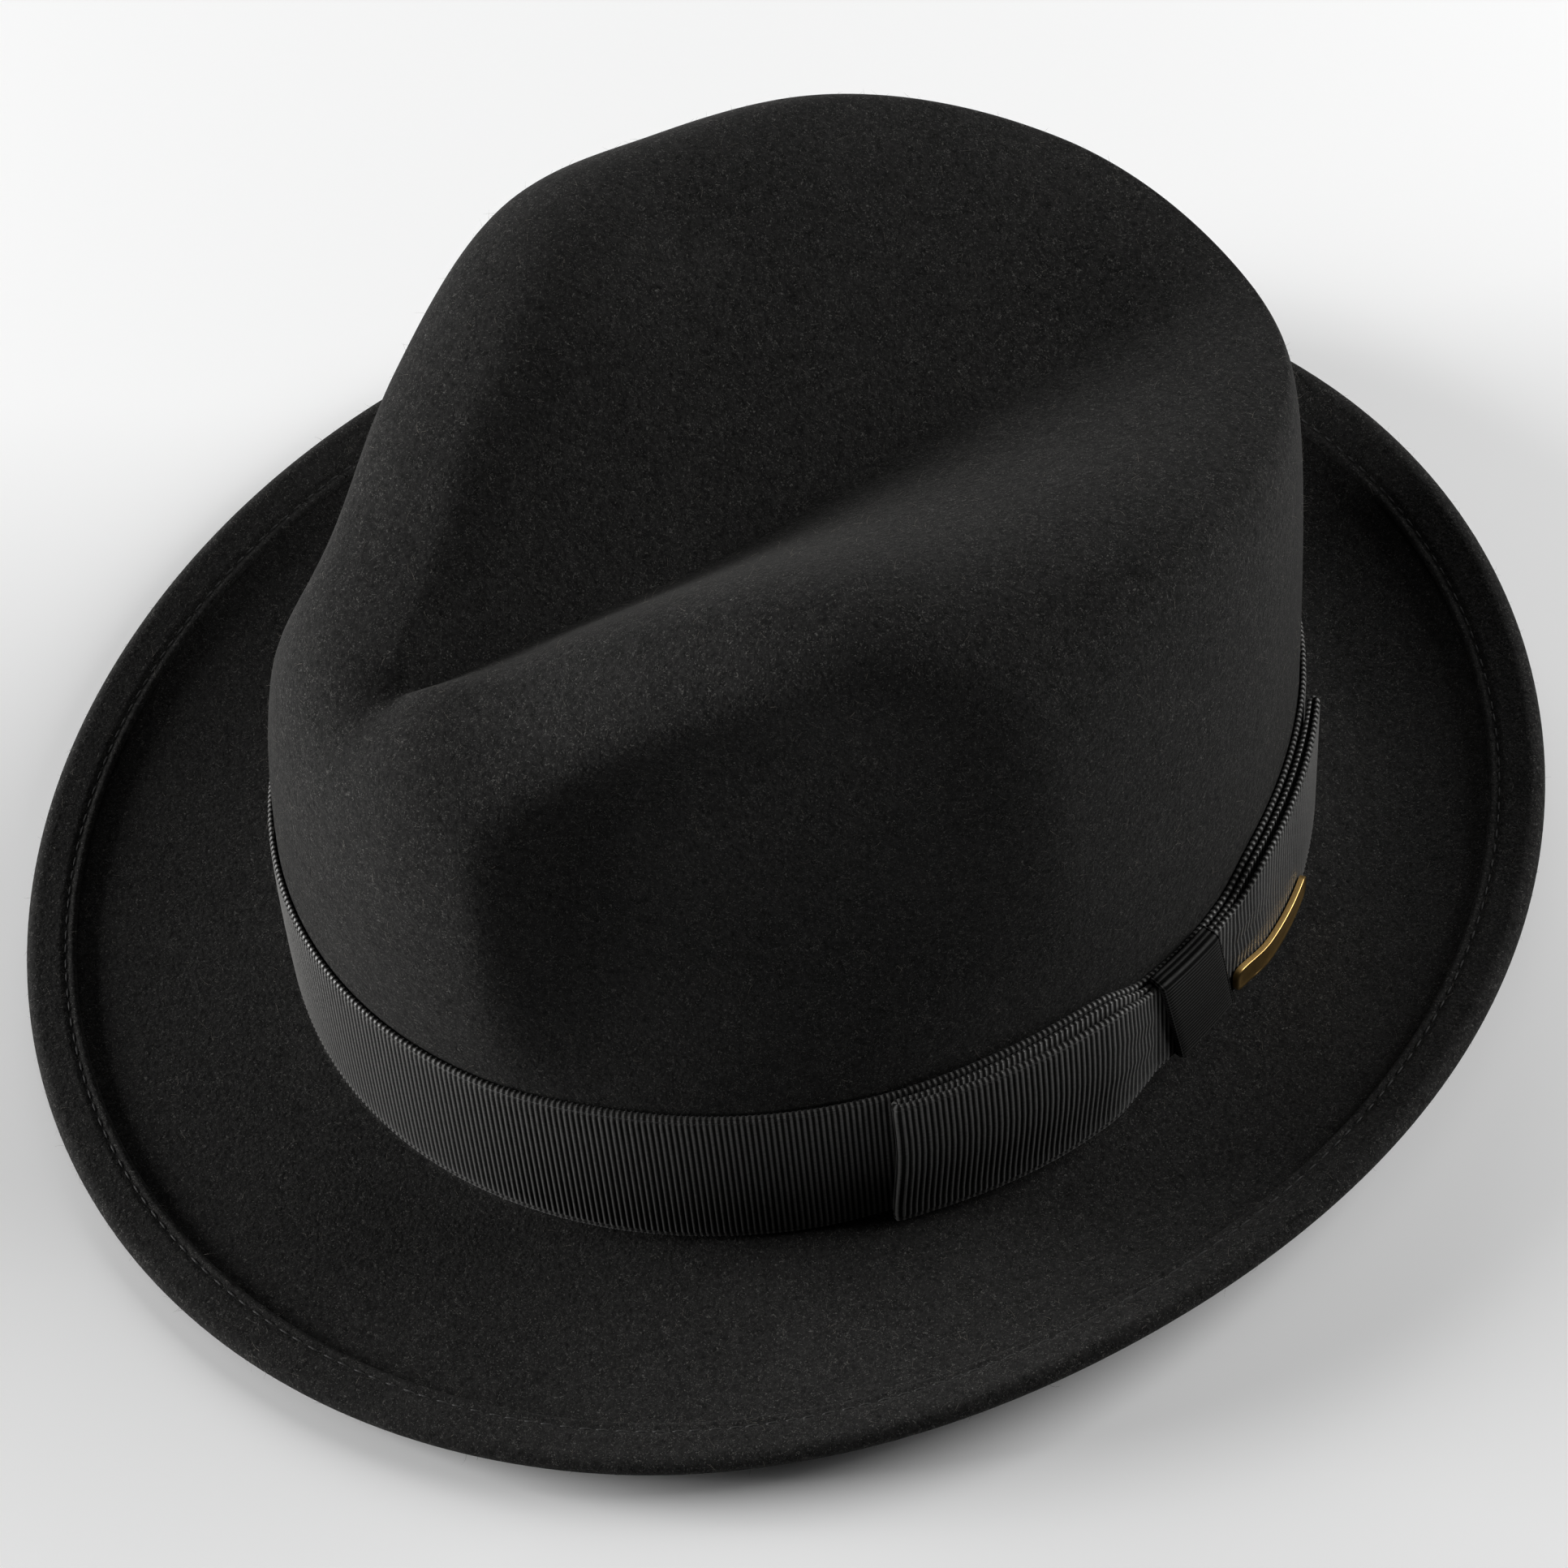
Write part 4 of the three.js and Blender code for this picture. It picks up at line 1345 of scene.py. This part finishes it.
@dataclass
class StrayFibres:
    """Fine loose fibres that stand out of the felt, but not under the ribbon.

    The curl and the dip of a fibre are shares of its length.
    """

    felt: FeltBody
    ribbon_top: float = 44
    count: int = 7000
    seed: int = 11
    thickness: float = 0.044
    shortest: float = 0.7
    longest: float = 2.6
    shorter: float = 2.2
    lean: tuple[float, float] = (8, 55)
    curl: tuple[float, float] = (-0.56, 0.56)
    dip: tuple[float, float] = (-0.175, 0.385)
    taper: float = 0.7
    sides: int = 3
    steps: int = 4

    def roots(self, middle: float, chance: np.random.Generator) -> tuple:
        """Places and normals of the fibres' roots on the felt's outer face."""
        rings = np.array(self.felt.rings) - (0, middle, 0)
        crown_rows = self.felt.top_rows + self.felt.wall_rows + self.felt.break_rows
        last = self.felt.outer_rings - 1
        here, below = rings[:last], rings[1 : last + 1]
        down, around = below - here, np.roll(here, -1, axis=1) - here
        normal = np.cross(down, around)
        area = np.linalg.norm(normal, axis=-1)
        row = np.arange(last)[:, None]
        wall = (row >= self.felt.top_rows) & (row < crown_rows)
        area = np.where(wall & (here[..., 2] < self.ribbon_top), 0, area)
        flat = area.ravel() / area.sum()
        picked = chance.choice(flat.size, self.count, p=flat)
        spread = chance.random((self.count, 2))
        corners = (here, down, around, normal)
        place, down, around, facing = (values.reshape(-1, 3)[picked] for values in corners)
        return place + down * spread[:, :1] + around * spread[:, 1:], unit(facing)

    def build(self, middle: float) -> Piece:
        """Grows every fibre as a thin bent tube in one mesh."""
        chance = np.random.default_rng(self.seed)
        place, normal = self.roots(middle, chance)
        wander = chance.normal(size=(self.count, 3))
        lie = unit(wander - normal * np.sum(wander * normal, axis=1, keepdims=True))
        side = np.cross(normal, lie)
        span = self.longest - self.shortest
        length = self.shortest + span * chance.random(self.count) ** self.shorter
        lean = np.radians(chance.uniform(*self.lean, self.count))
        curl = chance.uniform(*self.curl, self.count)
        dip = chance.uniform(*self.dip, self.count)
        rings = []
        for step in range(self.steps + 1):
            share = step / self.steps
            flat, rise = np.cos(lean) * share, np.sin(lean) * share - dip * share**2
            ways = ((lie, flat), (normal, rise), (side, curl * share**2))
            centre = place + sum(way * (part * length)[:, None] for way, part in ways)
            centre[:, 2] = np.maximum(centre[:, 2], self.thickness)
            radius = self.thickness / 2 * (1 - self.taper * share)
            for corner in range(self.sides):
                angle = 2 * math.pi * corner / self.sides
                rings.append(centre + radius * (math.cos(angle) * side + math.sin(angle) * normal))
        points = np.stack(rings, 1)
        per = points.shape[1]
        quads, _, _ = lattice(self.steps + 1, self.sides, False, True)
        caps = [list(range(self.sides)), [per - 1 - corner for corner in range(self.sides)]]
        shape = [face[::-1] for face in quads.tolist()] + caps
        starts = range(0, per * self.count, per)
        faces = [[corner + start for corner in face] for start in starts for face in shape]
        return new_piece("stray_fibres", points.reshape(-1, 3) * MM, faces)


@dataclass(frozen=True)
class Lamp:
    """Soft light: its turn from the picture's right to its back and its rise, in degrees."""

    name: str
    turn: float
    rise: float
    width: float
    height: float
    power: float


@dataclass(frozen=True)
class Studio:
    """Pale floor, soft lights and the camera, in metres and degrees."""

    azimuth: float = 64.73
    elevation: float = 54.21
    roll: float = -5.41
    distance: float = 0.8
    image_side: float = 1932
    focal_pixels: float = 5427.25
    sensor: float = 36
    target: tuple[float, float, float] = (0.01746, -0.00686, 0.046)
    aim_height: float = 0.05
    lamp_distance: float = 1.25
    surroundings: float = 0.012
    floor_side: float = 12
    lamps: tuple[Lamp, ...] = (
        Lamp("left_softbox", turn=178, rise=12, width=0.7, height=0.5, power=25),
        Lamp("right_softbox", turn=14, rise=28, width=0.8, height=0.6, power=14.5),
        Lamp("back_softbox", turn=90, rise=16, width=0.9, height=0.5, power=4),
        Lamp("top_softbox", turn=90, rise=88, width=0.8, height=0.8, power=0.8),
    )

    def axes(self) -> tuple:
        """Camera's right, up and back vectors."""
        angles = (self.azimuth, self.elevation, self.roll)
        turn, rise, roll = (math.radians(angle) for angle in angles)
        level = math.cos(rise)
        back = Vector((math.sin(turn) * level, -math.cos(turn) * level, math.sin(rise)))
        right = Vector((math.cos(turn), math.sin(turn), 0))
        up = back.cross(right)
        sine, cosine = math.sin(roll), math.cos(roll)
        return right * cosine + up * sine, up * cosine - right * sine, back

    def camera(self) -> None:
        """Sets the camera at the photograph's angle."""
        right, up, back = self.axes()
        camera = bpy.data.cameras.new("view")
        camera.sensor_width = self.sensor
        camera.lens = self.focal_pixels / self.image_side * self.sensor
        holder = hung("view", camera)
        place = Vector(self.target) + back * self.distance
        turn = Matrix((right, up, back)).transposed().to_4x4()
        holder.matrix_world = Matrix.Translation(place) @ turn
        bpy.context.scene.camera = holder

    def lamp(self, lamp: Lamp) -> None:
        """Hangs a soft light that points at the hat."""
        right, _, back = self.axes()
        across = Vector((right.x, right.y, 0)).normalized()
        away = Vector((-back.x, -back.y, 0)).normalized()
        turn, rise = math.radians(lamp.turn), math.radians(lamp.rise)
        way = (across * math.cos(turn) + away * math.sin(turn)) * math.cos(rise)
        way.z = math.sin(rise)
        aim = Vector((0, 0, self.aim_height))
        light = bpy.data.lights.new(lamp.name, "AREA")
        light.shape, light.energy = "RECTANGLE", lamp.power
        light.size, light.size_y = lamp.width, lamp.height
        holder = hung(lamp.name, light)
        holder.location = aim + self.lamp_distance * way
        holder.rotation_euler = (aim - holder.location).to_track_quat("-Z", "Y").to_euler()

    def lights(self) -> None:
        """Hangs the soft lights and sets the pale surroundings."""
        for lamp in self.lamps:
            self.lamp(lamp)
        world = bpy.data.worlds.new("surroundings")
        world.use_nodes = True
        background = world.node_tree.nodes["Background"]
        background.inputs["Color"].default_value = (1, 1, 1, 1)
        background.inputs["Strength"].default_value = self.surroundings
        bpy.context.scene.world = world
        bpy.context.scene.view_settings.view_transform = "Standard"

    def floor(self) -> None:
        """Lays the floor under the hat."""
        bpy.ops.object.select_all(action="DESELECT")
        bpy.ops.mesh.primitive_plane_add(size=self.floor_side, location=(0, 0, 0))
        floor = bpy.context.object
        floor.name = floor.data.name = "floor"
        floor.data.materials.append(FloorFinish().material())


def main() -> None:
    """Builds the hat's pieces in order, then the studio, and reports each piece."""
    logging.basicConfig(level=logging.INFO, format="%(name)s %(message)s")
    crown = Crown()
    brim = Brim(crown)
    middle = brim.middle()
    felt_finish = FeltFinish().material()
    ribbon_finish = GrosgrainFinish().material()
    felt = FeltBody(crown, brim)
    dress(felt.build(middle), felt_finish, ("felt_body",))
    dress(WeltStitches(brim, felt).build(middle), ThreadFinish().material())
    dress(StrayFibres(felt).build(middle), FibreFinish().material())
    trim = Trim(crown, RibbonWeave())
    dress(RibbonBand(trim).build(middle), ribbon_finish, ("ribbon_band",))
    dress(BowLoop(trim, Side.FRONT).build(middle), ribbon_finish, ("bow_front_loop",))
    dress(BowLoop(trim, Side.BACK).build(middle), ribbon_finish, ("bow_back_loop",))
    # The knot gets a darker, less glossy copy of the ribbon's finish: painted shade for the knot,
    # which sits recessed between the loops and catches less light.
    knot_painted_shade_finish = GrosgrainFinish(name="black_knot_painted_shade", raised=(0.036, 0.0355, 0.034), gloss=0.2)
    dress(BowKnot(trim).build(middle), knot_painted_shade_finish.material(), ("bow_knot",))
    dress(PinBar(trim).build(middle), BrassFinish().material(), ("pin_bar",))
    studio = Studio()
    studio.floor()
    studio.lights()
    studio.camera()


if __name__ == "__main__":
    main()
